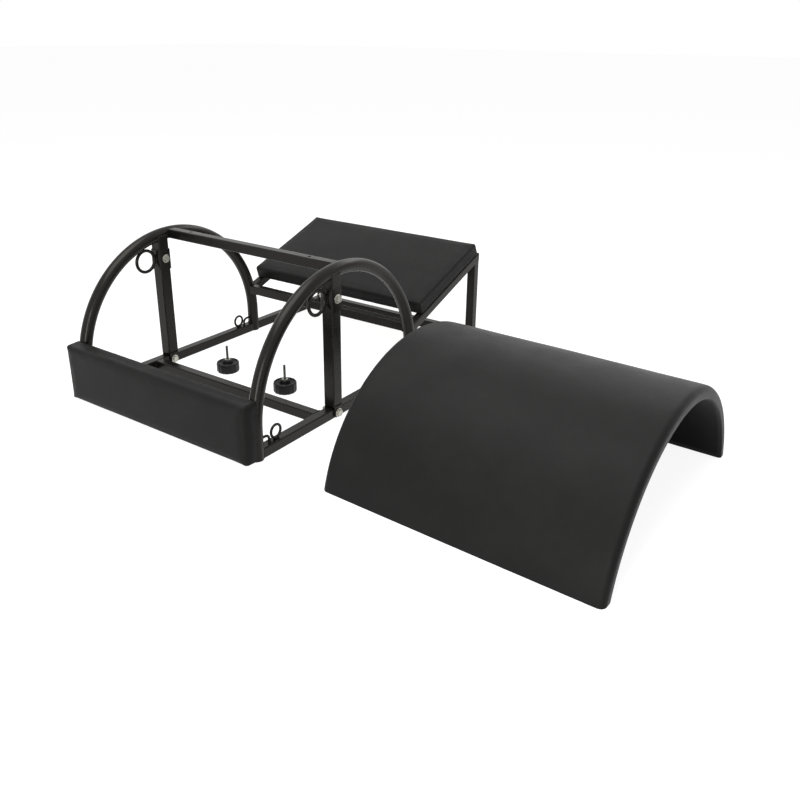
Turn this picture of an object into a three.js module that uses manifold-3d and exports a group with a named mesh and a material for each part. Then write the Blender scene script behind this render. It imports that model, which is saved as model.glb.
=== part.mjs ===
// Pilates spine corrector with its barrel pad and hand knobs taken off, in millimetres.
// +X runs along the crossbar, +Y from the footboard back to the seat and +Z up from the floor.
// The pieces are laid out round the ground point below the hoops' centre, and the finished group
// is moved so that its origin is the middle of the whole footprint on the floor.
import * as THREE from 'three';
import { mergeVertices } from 'three/addons/utils/BufferGeometryUtils.js';
import Module from 'manifold-3d';

const wasm = await Module();
wasm.setup();

// Clearances and cutting
const gap = 0.3;            // air between pieces that touch
const overrun = 4;          // how far a cutter runs past what it cuts
const weld_tolerance = 0.001;

// Square steel tube of the base, the crossbar and the seat frame
const bar = 22;
const bar_wall = 1.5;

// Base frame
const frame_width = 542;    // over the outer faces of the two rails
const rear_reach = 573;     // from the hoops' centre to the rear face
const mid_tube_y = -72;     // centre of the cross tube in front of the posts
const front_tube_z = 66;    // centre of the cross tube behind the footboard

// Hoops, bent from round tube, standing on the floor between the rails' ends
const hoop_radius = 264.5;  // to the tube's centre line
const hoop_tube = 28;
const hoop_wall = 1.5;
const hoop_center_z = 60;   // the legs run straight down from here
const hoop_steps = 38;
const hoop_sides = 12;
const hoop_bore_sides = 8;

// Posts, square tube bolted to the rails and to brackets under the hoops
const post = 28;
const post_wall = 1.5;
const post_y = -28.5;
const post_foot = 2;        // the lugs end this far above the floor
const post_notch = 5;       // space between the rail's top and the post's front wall
const post_drop = 37.5;     // from the crossbar's centre down to the post's top

// Bolts of the posts
const bolt = 8;
const bolt_head = 13;       // across flats
const bolt_head_height = 5.3;
const bolt_nut_height = 6;
const bolt_flange = 20;     // round flange under the head and the nut
const bolt_flange_thickness = 1.6;
const bolt_end = 6;         // thread standing out of the nut
const bolt_drop = 19;       // from the post's top down to the upper bolt
const bolt_sides = 12;

// Brackets welded under the hoops
const bracket_plate = 2;
const bracket_height = 48;

// Spring rings
const ring = 50.5;          // of the wire's centre line
const ring_wire = 7.5;
const foot_ring = 27;
const foot_ring_wire = 5.5;
const eyelet_wire = 5.5;
const eyelet_reach = 36;    // from the hoop leg's centre to the eyelet's upright limb
const eyelet_rise = 17;     // from the rail's top to the eyelet's level limb
const eyelet_bend = 13;
const ring_sides = 8;
const ring_steps = 24;
const foot_ring_steps = 16;

// Seat frame
const seat_bar_z = 120;     // centre of the bar between the hoops' rear legs
const seat_slope = THREE.MathUtils.degToRad(19.6);
const seat_side_bar = 20;   // square tube of the side bars
const seat_start_z = 102;   // lowest edge of the side bars at the hoops

// Seat pad, measured along the slope
const seat_pad_start = 53;
const seat_pad_length = 284;
const seat_pad_thickness = 34;
const seat_pad_edge = 8;
const seat_pad_crown = 3;
const seat_pad_draw = 2;

// Footboard
const footboard_inset = -1.5; // its ends lie this far inside, or outside, the rails' outer faces
const footboard_set = 3.5;    // its rear face stands this far in front of the hoops' centre line
const footboard_thickness = 36;
const footboard_floor = 1;
const footboard_top = 130;
const footboard_edge = 7;
const footboard_crown = 1.5;
const footboard_draw = 1.5;

// Boards and covers of the pads
const board = 12;
const footboard_board = 18;
const cover = 3;            // vinyl and its thin padding where it wraps round a board's edge

// Screws that hold the pads
const screw = 5;
const screw_head = 10;
const screw_head_height = 3;
const screw_bite = 9;       // depth of the thread in the board
const screw_sides = 8;
const footboard_screw_inset = 65;     // from the rail's outer face to the outer screws
const footboard_screw_share = 0.37;   // the inner screws' place between the middle and the outer ones
const seat_screw_inset = 42;          // from the seat pad's front edge, along the slope
const seat_screw_space = 29.5;        // from the seat's legs to the rear screws, along the slope

// Barrel pad, an arched board with a padded cover, as long as the footboard
const barrel_fit = 0.5;     // between the lining and the hoops when it is on
const lining = 1;
const barrel_board = 8;
const barrel_padding = 17.5;
const barrel_drop = 71;     // the arch's centre lies this far below its bottom edges
const barrel_edge = 9;
const barrel_inner_edge = 3;
const barrel_crown = 1.5;
const barrel_steps = 28;

// Hand knobs that hold the barrel pad to the crossbar
const knob = 54;
const knob_height = 24;
const knob_edge = 2.5;
const knob_dish = 4;
const knob_rim = 4;
const knob_boss = 20;
const knob_boss_rise = 2.5;
const knob_sides = 24;
const stud = 6;
const stud_length = 36;     // above the collar
const stud_depth = 12;      // in the knob
const stud_collar = 15;
const stud_collar_height = 2.5;
const stud_tip = 1;
const knob_hole = 8;
const knob_spacing = 360;   // between the two knob holes in the crossbar
const tnut_flange = 19;
const tnut_flange_thickness = 1.5;
const tnut_barrel = 9.5;
const knob_washer = 16;
const knob_washer_thickness = 1.6;

// Where the loose pieces stand on the floor
const barrel_space = 173.5;   // between the rail's outer face and the pad's left end
const barrel_y = 14.9;
const barrel_turn = THREE.MathUtils.degToRad(-1.96);
const knob_places = { left: [-102, 13], right: [90, 5.5] };

// Places that follow from the sizes above
const rail_x = (frame_width - bar) / 2;
const rail_inner = rail_x - bar / 2;
const hoop_outer = hoop_radius + hoop_tube / 2;
const crossbar_z = hoop_center_z + hoop_radius;
const post_top = crossbar_z - post_drop;
const footboard_length = frame_width - 2 * footboard_inset;
const footboard_rear_y = -hoop_radius - footboard_set;
const footboard_outer_screw = frame_width / 2 - footboard_screw_inset;
const footboard_inner_screw = footboard_outer_screw * footboard_screw_share;
const footboard_screws = [
  -footboard_outer_screw, -footboard_inner_screw, footboard_inner_screw, footboard_outer_screw,
];
const seat_bar_y = Math.sqrt(hoop_radius ** 2 - (seat_bar_z - hoop_center_z) ** 2);
const seat_leg_start = (rear_reach - bar - seat_bar_y) / Math.cos(seat_slope);
const seat_screws = [seat_pad_start + seat_screw_inset, seat_leg_start - seat_screw_space];
const barrel_left_x = frame_width / 2 + barrel_space;
const rear_leg_y = rear_reach - bar / 2;
const seat_bar_x = (frame_width - seat_side_bar) / 2;
const front_tube_y = footboard_rear_y + gap + bar / 2;
const bolt_low_z = bar / 2;
const bolt_high_z = post_top - bolt_drop;
const bracket_half = post / 2 + gap + bracket_plate;
const bracket_bottom = post_top + gap + bracket_plate - bracket_height;
const barrel_inner = hoop_outer + barrel_fit;
const barrel_board_inner = barrel_inner + lining;
const barrel_board_outer = barrel_board_inner + barrel_board;
const barrel_outer = barrel_board_outer + barrel_padding;
const barrel_length = footboard_length;
const right_angle = Math.PI / 2;

// Finishes
const powder_coat = new THREE.MeshStandardMaterial({ color: 0x1b1a19, roughness: 0.42, metalness: 0.2 });
const vinyl = new THREE.MeshStandardMaterial({ color: 0x262625, roughness: 0.55, metalness: 0 });
const plywood = new THREE.MeshStandardMaterial({ color: 0xb48a5a, roughness: 0.7, metalness: 0 });
const lining_cloth = new THREE.MeshStandardMaterial({ color: 0x1c1c1c, roughness: 0.95, metalness: 0 });
const zinc = new THREE.MeshStandardMaterial({ color: 0xc9c6b4, roughness: 0.3, metalness: 1 });
const black_plastic = new THREE.MeshStandardMaterial({ color: 0x1a1a1b, roughness: 0.45, metalness: 0 });

// Closed meshes and booleans

function solid_of(geometry) {
  const bare = geometry.clone();
  bare.deleteAttribute('normal');
  bare.deleteAttribute('uv');
  const merged = mergeVertices(bare, weld_tolerance);
  const vertProperties = new Float32Array(merged.attributes.position.array);
  const triVerts = new Uint32Array(merged.index.array);
  return new wasm.Manifold(new wasm.Mesh({ numProp: 3, vertProperties, triVerts }));
}

function geometry_of(solid) {
  const mesh = solid.getMesh();
  const geometry = new THREE.BufferGeometry();
  geometry.setAttribute('position', new THREE.BufferAttribute(new Float32Array(mesh.vertProperties), 3));
  geometry.setIndex(new THREE.BufferAttribute(new Uint32Array(mesh.triVerts), 1));
  geometry.computeVertexNormals();
  return geometry;
}

function cut(geometry, ...cutters) {
  let solid = solid_of(geometry);
  for (const cutter of cutters) {
    solid = solid.subtract(solid_of(cutter));
  }
  return geometry_of(solid);
}

function join(...geometries) {
  let solid = solid_of(geometries[0]);
  for (const geometry of geometries.slice(1)) {
    solid = solid.add(solid_of(geometry));
  }
  return geometry_of(solid);
}

// Basic shapes

function circle_points(radius, sides) {
  const points = [];
  for (let i = 0; i < sides; i += 1) {
    const angle = ((i + 0.5) / sides) * 2 * Math.PI;
    points.push(new THREE.Vector2(radius * Math.cos(angle), radius * Math.sin(angle)));
  }
  return points;
}

function square_points(side) {
  const half = side / 2;
  return [[-half, -half], [half, -half], [half, half], [-half, half]].map(([x, y]) => new THREE.Vector2(x, y));
}

function block(x_size, y_size, z_size, x, y, z) {
  return new THREE.BoxGeometry(x_size, y_size, z_size).translate(x, y, z);
}

// A square tube along +Z from the origin.
function square_tube(side, wall, length) {
  const shape = new THREE.Shape(square_points(side));
  shape.holes.push(new THREE.Path(square_points(side - 2 * wall)));
  return new THREE.ExtrudeGeometry(shape, { depth: length, bevelEnabled: false });
}

function rod(radius, length, sides) {
  const shape = new THREE.Shape(circle_points(radius, sides));
  return new THREE.ExtrudeGeometry(shape, { depth: length, bevelEnabled: false });
}

function tube_along_x(from, to, y, z) {
  return square_tube(bar, bar_wall, to - from).rotateY(right_angle).translate(from, y, z);
}

function tube_along_y(from, to, x, z) {
  return square_tube(bar, bar_wall, to - from).rotateX(-right_angle).translate(x, from, z);
}

// The same tube as a solid bar and as the room inside it, for tubes that are closed at the far end.
function bar_along_y(from, to, x, z, side) {
  return block(side, to - from, side, x, (from + to) / 2, z);
}

// Rods centred on a place, to drill holes along each direction.
function drill_x(diameter, length, x, y, z) {
  return rod(diameter / 2, length, bolt_sides).rotateY(right_angle).translate(x - length / 2, y, z);
}

function drill_y(diameter, length, x, y, z) {
  return rod(diameter / 2, length, screw_sides).rotateX(-right_angle).translate(x, y - length / 2, z);
}

function drill_z(diameter, length, x, y, z, facets = bolt_sides) {
  return rod(diameter / 2, length, facets).translate(x, y, z - length / 2);
}

// A turned piece from pairs of radius and height; the profile closes on itself or on the axis.
function turned(profile, sides) {
  return new THREE.LatheGeometry(profile.map(([r, z]) => new THREE.Vector2(r, z)), sides).rotateX(right_angle);
}

function flat_ring(outer, inner, height, sides) {
  const [ro, ri] = [outer / 2, inner / 2];
  return turned([[ri, 0], [ro, 0], [ro, height], [ri, height], [ri, 0]], sides);
}

// The hoop's centre line in the plane x = 0: up one leg, over the arch and down the other leg.
class HoopLine extends THREE.Curve {
  constructor(drop) {
    super();
    this.leg = hoop_center_z + drop;
    this.low = -drop;
    this.arch = Math.PI * hoop_radius;
  }

  getPoint(t, target = new THREE.Vector3()) {
    const run = t * (2 * this.leg + this.arch);
    if (run <= this.leg) return target.set(0, -hoop_radius, this.low + run);
    if (run >= this.leg + this.arch) {
      return target.set(0, hoop_radius, hoop_center_z - (run - this.leg - this.arch));
    }
    const angle = (run - this.leg) / hoop_radius;
    return target.set(0, -hoop_radius * Math.cos(angle), hoop_center_z + hoop_radius * Math.sin(angle));
  }
}

function hoop_tube_geometry() {
  const shape = new THREE.Shape(circle_points(hoop_tube / 2, hoop_sides));
  shape.holes.push(new THREE.Path(circle_points(hoop_tube / 2 - hoop_wall, hoop_bore_sides)));
  return new THREE.ExtrudeGeometry(shape, { steps: hoop_steps, extrudePath: new HoopLine(0) });
}

// A solid bar on the hoop's line, a little fatter than the tube, that notches what meets it.
function hoop_cutter(x, clearance) {
  const shape = new THREE.Shape(circle_points(hoop_tube / 2 + clearance, hoop_sides));
  const options = { steps: hoop_steps, extrudePath: new HoopLine(overrun) };
  return new THREE.ExtrudeGeometry(shape, options).translate(x, 0, 0);
}

// The scene

const corrector = new THREE.Group();
const frame = new THREE.Group();
const barrel = new THREE.Group();
corrector.add(frame, barrel);

function add(parent, name, geometry, material, position = [0, 0, 0], rotation = [0, 0, 0]) {
  const mesh = new THREE.Mesh(geometry, material);
  mesh.name = name;
  mesh.position.set(...position);
  mesh.rotation.set(...rotation);
  parent.add(mesh);
  return mesh;
}

const sides = { left: -1, right: 1 };
const cutters = { left: hoop_cutter(-rail_x, gap), right: hoop_cutter(rail_x, gap) };

// Base frame

function add_base() {
  for (const [name, side] of Object.entries(sides)) {
    const x = side * rail_x;
    const front = tube_along_y(-hoop_radius, hoop_radius, x, bar / 2);
    const bolt_hole = drill_x(bolt + 2 * gap, bar + 2 * overrun, x, post_y, bolt_low_z);
    add(frame, `rail_${name}`, cut(front, cutters[name], bolt_hole), powder_coat);
    const rear = bar_along_y(hoop_radius, rear_reach, x, bar / 2, bar);
    const room = bar_along_y(hoop_radius - overrun, rear_reach - bar_wall, x, bar / 2, bar - 2 * bar_wall);
    add(frame, `rear_rail_${name}`, cut(rear, room, cutters[name]), powder_coat);
  }
  const reach = rail_inner - gap;
  add(frame, 'mid_cross_tube', tube_along_x(-reach, reach, mid_tube_y, bar / 2), powder_coat);
  add(frame, 'rear_cross_tube', tube_along_x(-reach, reach, rear_leg_y, bar / 2), powder_coat);
  const leg_inner = rail_x - hoop_tube / 2 - gap;
  const front_tube = tube_along_x(-leg_inner, leg_inner, front_tube_y, front_tube_z);
  const holes = footboard_screws.map((x) => (
    drill_y(screw + 2 * gap, bar + 2 * overrun, x, front_tube_y, front_tube_z)
  ));
  add(frame, 'front_cross_tube', cut(front_tube, ...holes), powder_coat);
}

// Hoops and crossbar

function add_hoops() {
  for (const [name, side] of Object.entries(sides)) {
    const x = side * rail_x;
    add(frame, `hoop_${name}`, hoop_tube_geometry(), powder_coat, [x, 0, 0]);
  }
  const crossbar = tube_along_x(-rail_x, rail_x, 0, crossbar_z);
  const holes = [-1, 1].map((side) => (
    drill_z(knob_hole, bar + 2 * overrun, side * knob_spacing / 2, 0, crossbar_z)
  ));
  add(frame, 'crossbar', cut(crossbar, cutters.left, cutters.right, ...holes), powder_coat);
}

// Posts and their brackets

function post_geometry() {
  const tube = square_tube(post, post_wall, post_top - post_foot).translate(0, 0, post_foot);
  const notch_top = bar + post_notch;
  const notch = block(post - 2 * post_wall, post + 2 * overrun, notch_top + overrun, 0, 0, (notch_top - overrun) / 2);
  const drills = [bolt_low_z, bolt_high_z].map((z) => drill_x(bolt + 2 * gap, post + 2 * overrun, 0, 0, z));
  return cut(tube, notch, ...drills);
}

// A plate folded round the front and the sides of the post's top, with a short stub up to the hoop.
function bracket_geometry() {
  const middle = bracket_bottom + bracket_height / 2;
  const outside = block(2 * bracket_half, bracket_half + post / 2, bracket_height, 0, (post / 2 - bracket_half) / 2, middle);
  const room = block(post + 2 * gap, post + gap + overrun, bracket_height,
    0, overrun / 2, middle - bracket_plate);
  const stub_top = crossbar_z;
  const stub_bottom = bracket_bottom + bracket_height - bracket_plate;
  const stub = block(post, post, stub_top - stub_bottom, 0, 0, (stub_top + stub_bottom) / 2);
  const hoop = hoop_cutter(0, gap).translate(0, -post_y, 0);
  const above = block(post, post, 2 * hoop_tube, 0, 0, crossbar_z + hoop_tube);
  const hole = drill_x(bolt + 2 * gap, 2 * bracket_half + 2 * overrun, 0, 0, bolt_high_z);
  return cut(join(cut(outside, room), stub), hoop, above, hole);
}

function add_posts() {
  for (const [name, side] of Object.entries(sides)) {
    const place = [side * rail_x, post_y, 0];
    add(frame, `post_${name}`, post_geometry(), powder_coat, place);
    add(frame, `post_bracket_${name}`, bracket_geometry(), powder_coat, place);
  }
}

// Bolts through the posts: the heads face +X, the nuts and the ends of the threads face -X

function bolt_geometry(half_grip) {
  const length = 2 * half_grip + 3 * gap + bolt_flange_thickness + bolt_nut_height + bolt_end;
  const shank = rod(bolt / 2, length + bolt_flange_thickness, bolt_sides).translate(0, 0, -length);
  const flange = rod(bolt_flange / 2, bolt_flange_thickness, 2 * bolt_sides);
  const hex = rod(bolt_head / Math.sqrt(3), bolt_head_height, 6).translate(0, 0, bolt_flange_thickness / 2);
  return join(hex, flange, shank).rotateY(right_angle).translate(half_grip + gap, 0, 0);
}

function nut_geometry(half_grip) {
  const flange = rod(bolt_flange / 2, bolt_flange_thickness, 2 * bolt_sides);
  const hex = rod(bolt_head / Math.sqrt(3), bolt_nut_height, 6).translate(0, 0, bolt_flange_thickness / 2);
  const bore = drill_z(bolt + 2 * gap, 2 * bolt_nut_height + 2 * overrun, 0, 0, 0);
  return cut(join(hex, flange), bore).rotateY(-right_angle).translate(-half_grip - gap, 0, 0);
}

function add_bolts() {
  const levels = { lower: [bolt_low_z, post / 2], upper: [bolt_high_z, bracket_half] };
  for (const [name, side] of Object.entries(sides)) {
    for (const [level, [z, half_grip]] of Object.entries(levels)) {
      const place = [side * rail_x, post_y, z];
      add(frame, `${level}_bolt_${name}`, bolt_geometry(half_grip), zinc, place);
      add(frame, `${level}_nut_${name}`, nut_geometry(half_grip), zinc, place);
    }
  }
}

// Rings for springs

function ring_geometry(diameter, wire, steps) {
  return new THREE.TorusGeometry(diameter / 2, wire / 2, ring_sides, steps).rotateY(right_angle);
}

// The eyelet's line from the hoop's leg out and down to the rail, seen from the leg's centre.
function eyelet_geometry() {
  const start = hoop_tube / 2 + gap;
  const top = bar + eyelet_rise;
  const line = new THREE.CurvePath();
  const corner = new THREE.Vector3(0, eyelet_reach, top);
  const bend_start = new THREE.Vector3(0, eyelet_reach - eyelet_bend, top);
  const bend_end = new THREE.Vector3(0, eyelet_reach, top - eyelet_bend);
  line.add(new THREE.LineCurve3(new THREE.Vector3(0, start, top), bend_start));
  line.add(new THREE.QuadraticBezierCurve3(bend_start, corner, bend_end));
  line.add(new THREE.LineCurve3(bend_end, new THREE.Vector3(0, eyelet_reach, bar + gap)));
  const shape = new THREE.Shape(circle_points(eyelet_wire / 2, ring_sides));
  return new THREE.ExtrudeGeometry(shape, { steps: ring_sides, extrudePath: line });
}

function add_rings() {
  const ring_y = post_y - bracket_half - gap - (ring + ring_wire) / 2;
  const foot_ring_y = eyelet_reach + eyelet_wire / 2 + gap + (foot_ring + foot_ring_wire) / 2;
  const foot_ring_z = bar + gap + (foot_ring + foot_ring_wire) / 2;
  for (const [name, side] of Object.entries(sides)) {
    const x = side * rail_x;
    add(frame, `top_ring_${name}`, ring_geometry(ring, ring_wire, ring_steps), powder_coat, [x, ring_y, bolt_high_z]);
    for (const [end, way] of Object.entries({ front: 1, rear: -1 })) {
      const foot = new THREE.Group();
      foot.position.set(x, -way * hoop_radius, 0);
      foot.scale.set(1, 1, 1);
      foot.rotation.z = way > 0 ? 0 : Math.PI;
      add(foot, `eyelet_${end}_${name}`, eyelet_geometry(), powder_coat);
      const small = ring_geometry(foot_ring, foot_ring_wire, foot_ring_steps);
      add(foot, `foot_ring_${end}_${name}`, small, powder_coat, [0, foot_ring_y, foot_ring_z]);
      frame.add(foot);
    }
  }
}

// Seat frame. The side bars start at the hoops' rear legs and rise to the rear legs of the seat.

const slope_origin = [0, seat_bar_y, seat_start_z];

// Turns a shape from the seat's own frame, +Y up the slope and +Z off it, into the frame's.
function on_slope(geometry) {
  return geometry.rotateX(seat_slope).translate(...slope_origin);
}

function seat_screw_places() {
  return [-1, 1].flatMap((side) => seat_screws.map((y) => [side * seat_bar_x, y]));
}

function add_seat_frame() {
  const reach = rail_inner - gap;
  const front_bar = tube_along_x(-reach, reach, seat_bar_y, seat_bar_z);
  add(frame, 'seat_front_bar', cut(front_bar, cutters.left, cutters.right), powder_coat);
  const slope_length = (rear_reach - seat_bar_y) / Math.cos(seat_slope) + bar;
  const behind = (y) => block(frame_width, slope_length, rear_reach, 0, y + slope_length / 2, rear_reach / 2);
  const holes = seat_screw_places().map(([x, y]) => (
    on_slope(drill_z(screw + 2 * gap, 2 * seat_side_bar + 2 * overrun, x, y, 0, screw_sides))
  ));
  for (const [name, side] of Object.entries(sides)) {
    const x = side * rail_x;
    const bar_x = side * seat_bar_x;
    const middle = seat_side_bar / 2;
    const solid = on_slope(bar_along_y(0, slope_length, bar_x, middle, seat_side_bar));
    const inside = on_slope(bar_along_y(-overrun, slope_length, bar_x, middle, seat_side_bar - 2 * bar_wall));
    const room = cut(inside, behind(rear_reach - bar_wall));
    const side_bar = cut(solid, room, cutters[name], behind(rear_reach), ...holes);
    add(frame, `seat_side_bar_${name}`, side_bar, powder_coat);
    const leg = square_tube(bar, bar_wall, rear_reach).translate(x, rear_leg_y, bar + gap);
    const above = on_slope(block(frame_width, 4 * slope_length, 2 * rear_reach, x, 0, rear_reach - gap));
    add(frame, `seat_leg_${name}`, cut(leg, above), powder_coat);
  }
}

// Padded covers

// Grid lines across one face of a padded block: fine at the rounded edges, even between them.
function grid_lines(half, edge, cells) {
  const flat = half - edge;
  const lines = [-half, -flat - edge * Math.tan(Math.PI / 8)];
  for (let i = 0; i <= cells; i += 1) {
    lines.push(-flat + (2 * flat * i) / cells);
  }
  lines.push(flat + edge * Math.tan(Math.PI / 8), half);
  return lines;
}

// A block on z = 0 with rounded edges, a crown on top and sides drawn in between the corners.
function padded_block({ size, edge, crown, draw, cells }) {
  const half = size.map((length) => length / 2);
  const lines = half.map((h, axis) => grid_lines(h, edge, cells[axis]));
  const positions = [];
  const place = (point) => {
    const inner = point.map((v, axis) => THREE.MathUtils.clamp(v, edge - half[axis], half[axis] - edge));
    const out = new THREE.Vector3(...point.map((v, axis) => v - inner[axis])).setLength(edge);
    const [x, y, z] = [inner[0] + out.x, inner[1] + out.y, inner[2] + out.z];
    const across = 1 - (x / half[0]) ** 2;
    const along = 1 - (y / half[1]) ** 2;
    const height_share = (z + half[2]) / (2 * half[2]);
    return [
      x - (x / half[0]) * draw * along,
      y - (y / half[1]) * draw * across,
      z + half[2] + crown * across * along * height_share,
    ];
  };
  for (let axis = 0; axis < 3; axis += 1) {
    const [u, v] = [(axis + 1) % 3, (axis + 2) % 3];
    for (const face of [-1, 1]) {
      const at = (i, j) => {
        const point = [0, 0, 0];
        point[axis] = face * half[axis];
        point[u] = lines[u][i];
        point[v] = lines[v][j];
        return place(point);
      };
      for (let i = 0; i < lines[u].length - 1; i += 1) {
        for (let j = 0; j < lines[v].length - 1; j += 1) {
          const corners = [at(i, j), at(i + 1, j), at(i + 1, j + 1), at(i, j + 1)];
          if (face < 0) corners.reverse();
          const [a, b, c, d] = corners;
          positions.push(...a, ...b, ...c, ...a, ...c, ...d);
        }
      }
    }
  }
  const geometry = new THREE.BufferGeometry();
  geometry.setAttribute('position', new THREE.BufferAttribute(new Float32Array(positions), 3));
  return geometry;
}

// A pan-headed screw along +Z, with the underside of its head at zero.
function screw_geometry(length) {
  const head = rod(screw_head / 2, screw_head_height, screw_sides).translate(0, 0, -screw_head_height);
  const shank = rod(screw / 2, length + screw_head_height, screw_sides).translate(0, 0, -screw_head_height);
  return join(head, shank);
}

// Footboard

function add_footboard() {
  const height = footboard_top - footboard_floor;
  const middle = (footboard_top + footboard_floor) / 2;
  const notches = [hoop_cutter(-rail_x, gap), hoop_cutter(rail_x, gap)];
  const pad = padded_block({
    size: [footboard_length, height, footboard_thickness],
    edge: footboard_edge,
    crown: footboard_crown,
    draw: footboard_draw,
    cells: [8, 3, 1],
  }).rotateX(right_angle).translate(0, footboard_rear_y, middle);
  const pocket = block(
    footboard_length - 2 * cover, footboard_board + gap + overrun, height - 2 * cover,
    0, footboard_rear_y - (footboard_board + gap - overrun) / 2, middle,
  );
  add(frame, 'footboard_pad', cut(pad, pocket, ...notches), vinyl);
  const slack = cover + gap;
  const wood = block(
    footboard_length - 2 * slack, footboard_board, height - 2 * slack,
    0, footboard_rear_y - footboard_board / 2, middle,
  );
  const head_y = front_tube_y + bar / 2 + gap;
  const pilots = footboard_screws.map((x) => (
    drill_y(screw + 2 * gap, 2 * (screw_bite + gap), x, footboard_rear_y, front_tube_z)
  ));
  add(frame, 'footboard_board', cut(wood, ...notches, ...pilots), plywood);
  footboard_screws.forEach((x, i) => {
    const length = head_y - footboard_rear_y + screw_bite;
    const geometry = screw_geometry(length).rotateX(right_angle);
    add(frame, `footboard_screw_${i + 1}`, geometry, zinc, [x, head_y, front_tube_z]);
  });
}

// Seat pad, in the seat's own frame

function add_seat_pad() {
  const seat = new THREE.Group();
  seat.position.set(...slope_origin);
  seat.rotation.x = seat_slope;
  frame.add(seat);
  const middle = seat_pad_start + seat_pad_length / 2;
  const base = seat_side_bar + gap;
  const pad = padded_block({
    size: [frame_width, seat_pad_length, seat_pad_thickness],
    edge: seat_pad_edge,
    crown: seat_pad_crown,
    draw: seat_pad_draw,
    cells: [8, 5, 1],
  }).translate(0, middle, base);
  const pocket = block(
    frame_width - 2 * cover, seat_pad_length - 2 * cover, board + gap + overrun,
    0, middle, base + (board + gap - overrun) / 2,
  );
  add(seat, 'seat_pad', cut(pad, pocket), vinyl);
  const slack = cover + gap;
  const wood = block(
    frame_width - 2 * slack, seat_pad_length - 2 * slack, board, 0, middle, base + board / 2,
  );
  const pilots = seat_screw_places().map(([x, y]) => (
    drill_z(screw + 2 * gap, 2 * (screw_bite + gap), x, y, base, screw_sides)
  ));
  add(seat, 'seat_board', cut(wood, ...pilots), plywood);
  seat_screw_places().forEach(([x, y], i) => {
    const geometry = screw_geometry(seat_side_bar + 2 * gap + screw_bite);
    add(seat, `seat_screw_${i + 1}`, geometry, zinc, [x, y, -gap]);
  });
}

// Barrel pad. Its own frame has +X along the arch and z = 0 at its bottom edges.

// Sweeps a closed outline of [x, radius] pairs round the arch's centre.
function arch_geometry(outline) {
  const reach = Math.acos(barrel_drop / barrel_outer) + Math.asin(overrun / barrel_inner) * 3;
  const rings = [];
  for (let i = 0; i <= barrel_steps; i += 1) {
    const angle = reach * ((2 * i) / barrel_steps - 1);
    rings.push(outline.map(([x, r]) => [x, r * Math.sin(angle), r * Math.cos(angle) - barrel_drop]));
  }
  const positions = [];
  for (let i = 0; i < barrel_steps; i += 1) {
    for (let j = 0; j < outline.length; j += 1) {
      const next = (j + 1) % outline.length;
      const [a, b, c, d] = [rings[i][j], rings[i][next], rings[i + 1][next], rings[i + 1][j]];
      positions.push(...a, ...c, ...b, ...a, ...d, ...c);
    }
  }
  const flat = outline.map(([x, r]) => new THREE.Vector2(x, r));
  for (const [a, b, c] of THREE.ShapeUtils.triangulateShape(flat, [])) {
    positions.push(...rings[0][a], ...rings[0][b], ...rings[0][c]);
    positions.push(...rings[barrel_steps][a], ...rings[barrel_steps][c], ...rings[barrel_steps][b]);
  }
  const geometry = new THREE.BufferGeometry();
  geometry.setAttribute('position', new THREE.BufferAttribute(new Float32Array(positions), 3));
  return geometry;
}

function plain_outline(length, inner, outer) {
  const half = length / 2;
  return [[-half, inner], [half, inner], [half, outer], [-half, outer]];
}

// The cover's outline: small edges inside, large edges outside and a slight crown between them.
function barrel_outline() {
  const half = barrel_length / 2;
  const points = [];
  const corner = (x, r, radius, from) => {
    for (let i = 0; i <= 2; i += 1) {
      const angle = from + (right_angle * i) / 2;
      points.push([x + radius * Math.cos(angle), r + radius * Math.sin(angle)]);
    }
  };
  corner(barrel_inner_edge - half, barrel_inner + barrel_inner_edge, barrel_inner_edge, Math.PI);
  corner(half - barrel_inner_edge, barrel_inner + barrel_inner_edge, barrel_inner_edge, -right_angle);
  const top = barrel_outer - barrel_crown;
  corner(half - barrel_edge, top - barrel_edge, barrel_edge, 0);
  const crown_half = half - barrel_edge;
  for (const share of [0.5, 0, -0.5]) {
    points.push([share * crown_half, top + barrel_crown * (1 - share ** 2)]);
  }
  corner(barrel_edge - half, top - barrel_edge, barrel_edge, right_angle);
  return points;
}

// Everything below a level, as a cutter.
function below(level) {
  const depth = 2 * barrel_outer;
  return block(2 * barrel_length, 2 * depth, depth, 0, 0, level - depth / 2);
}

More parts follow.
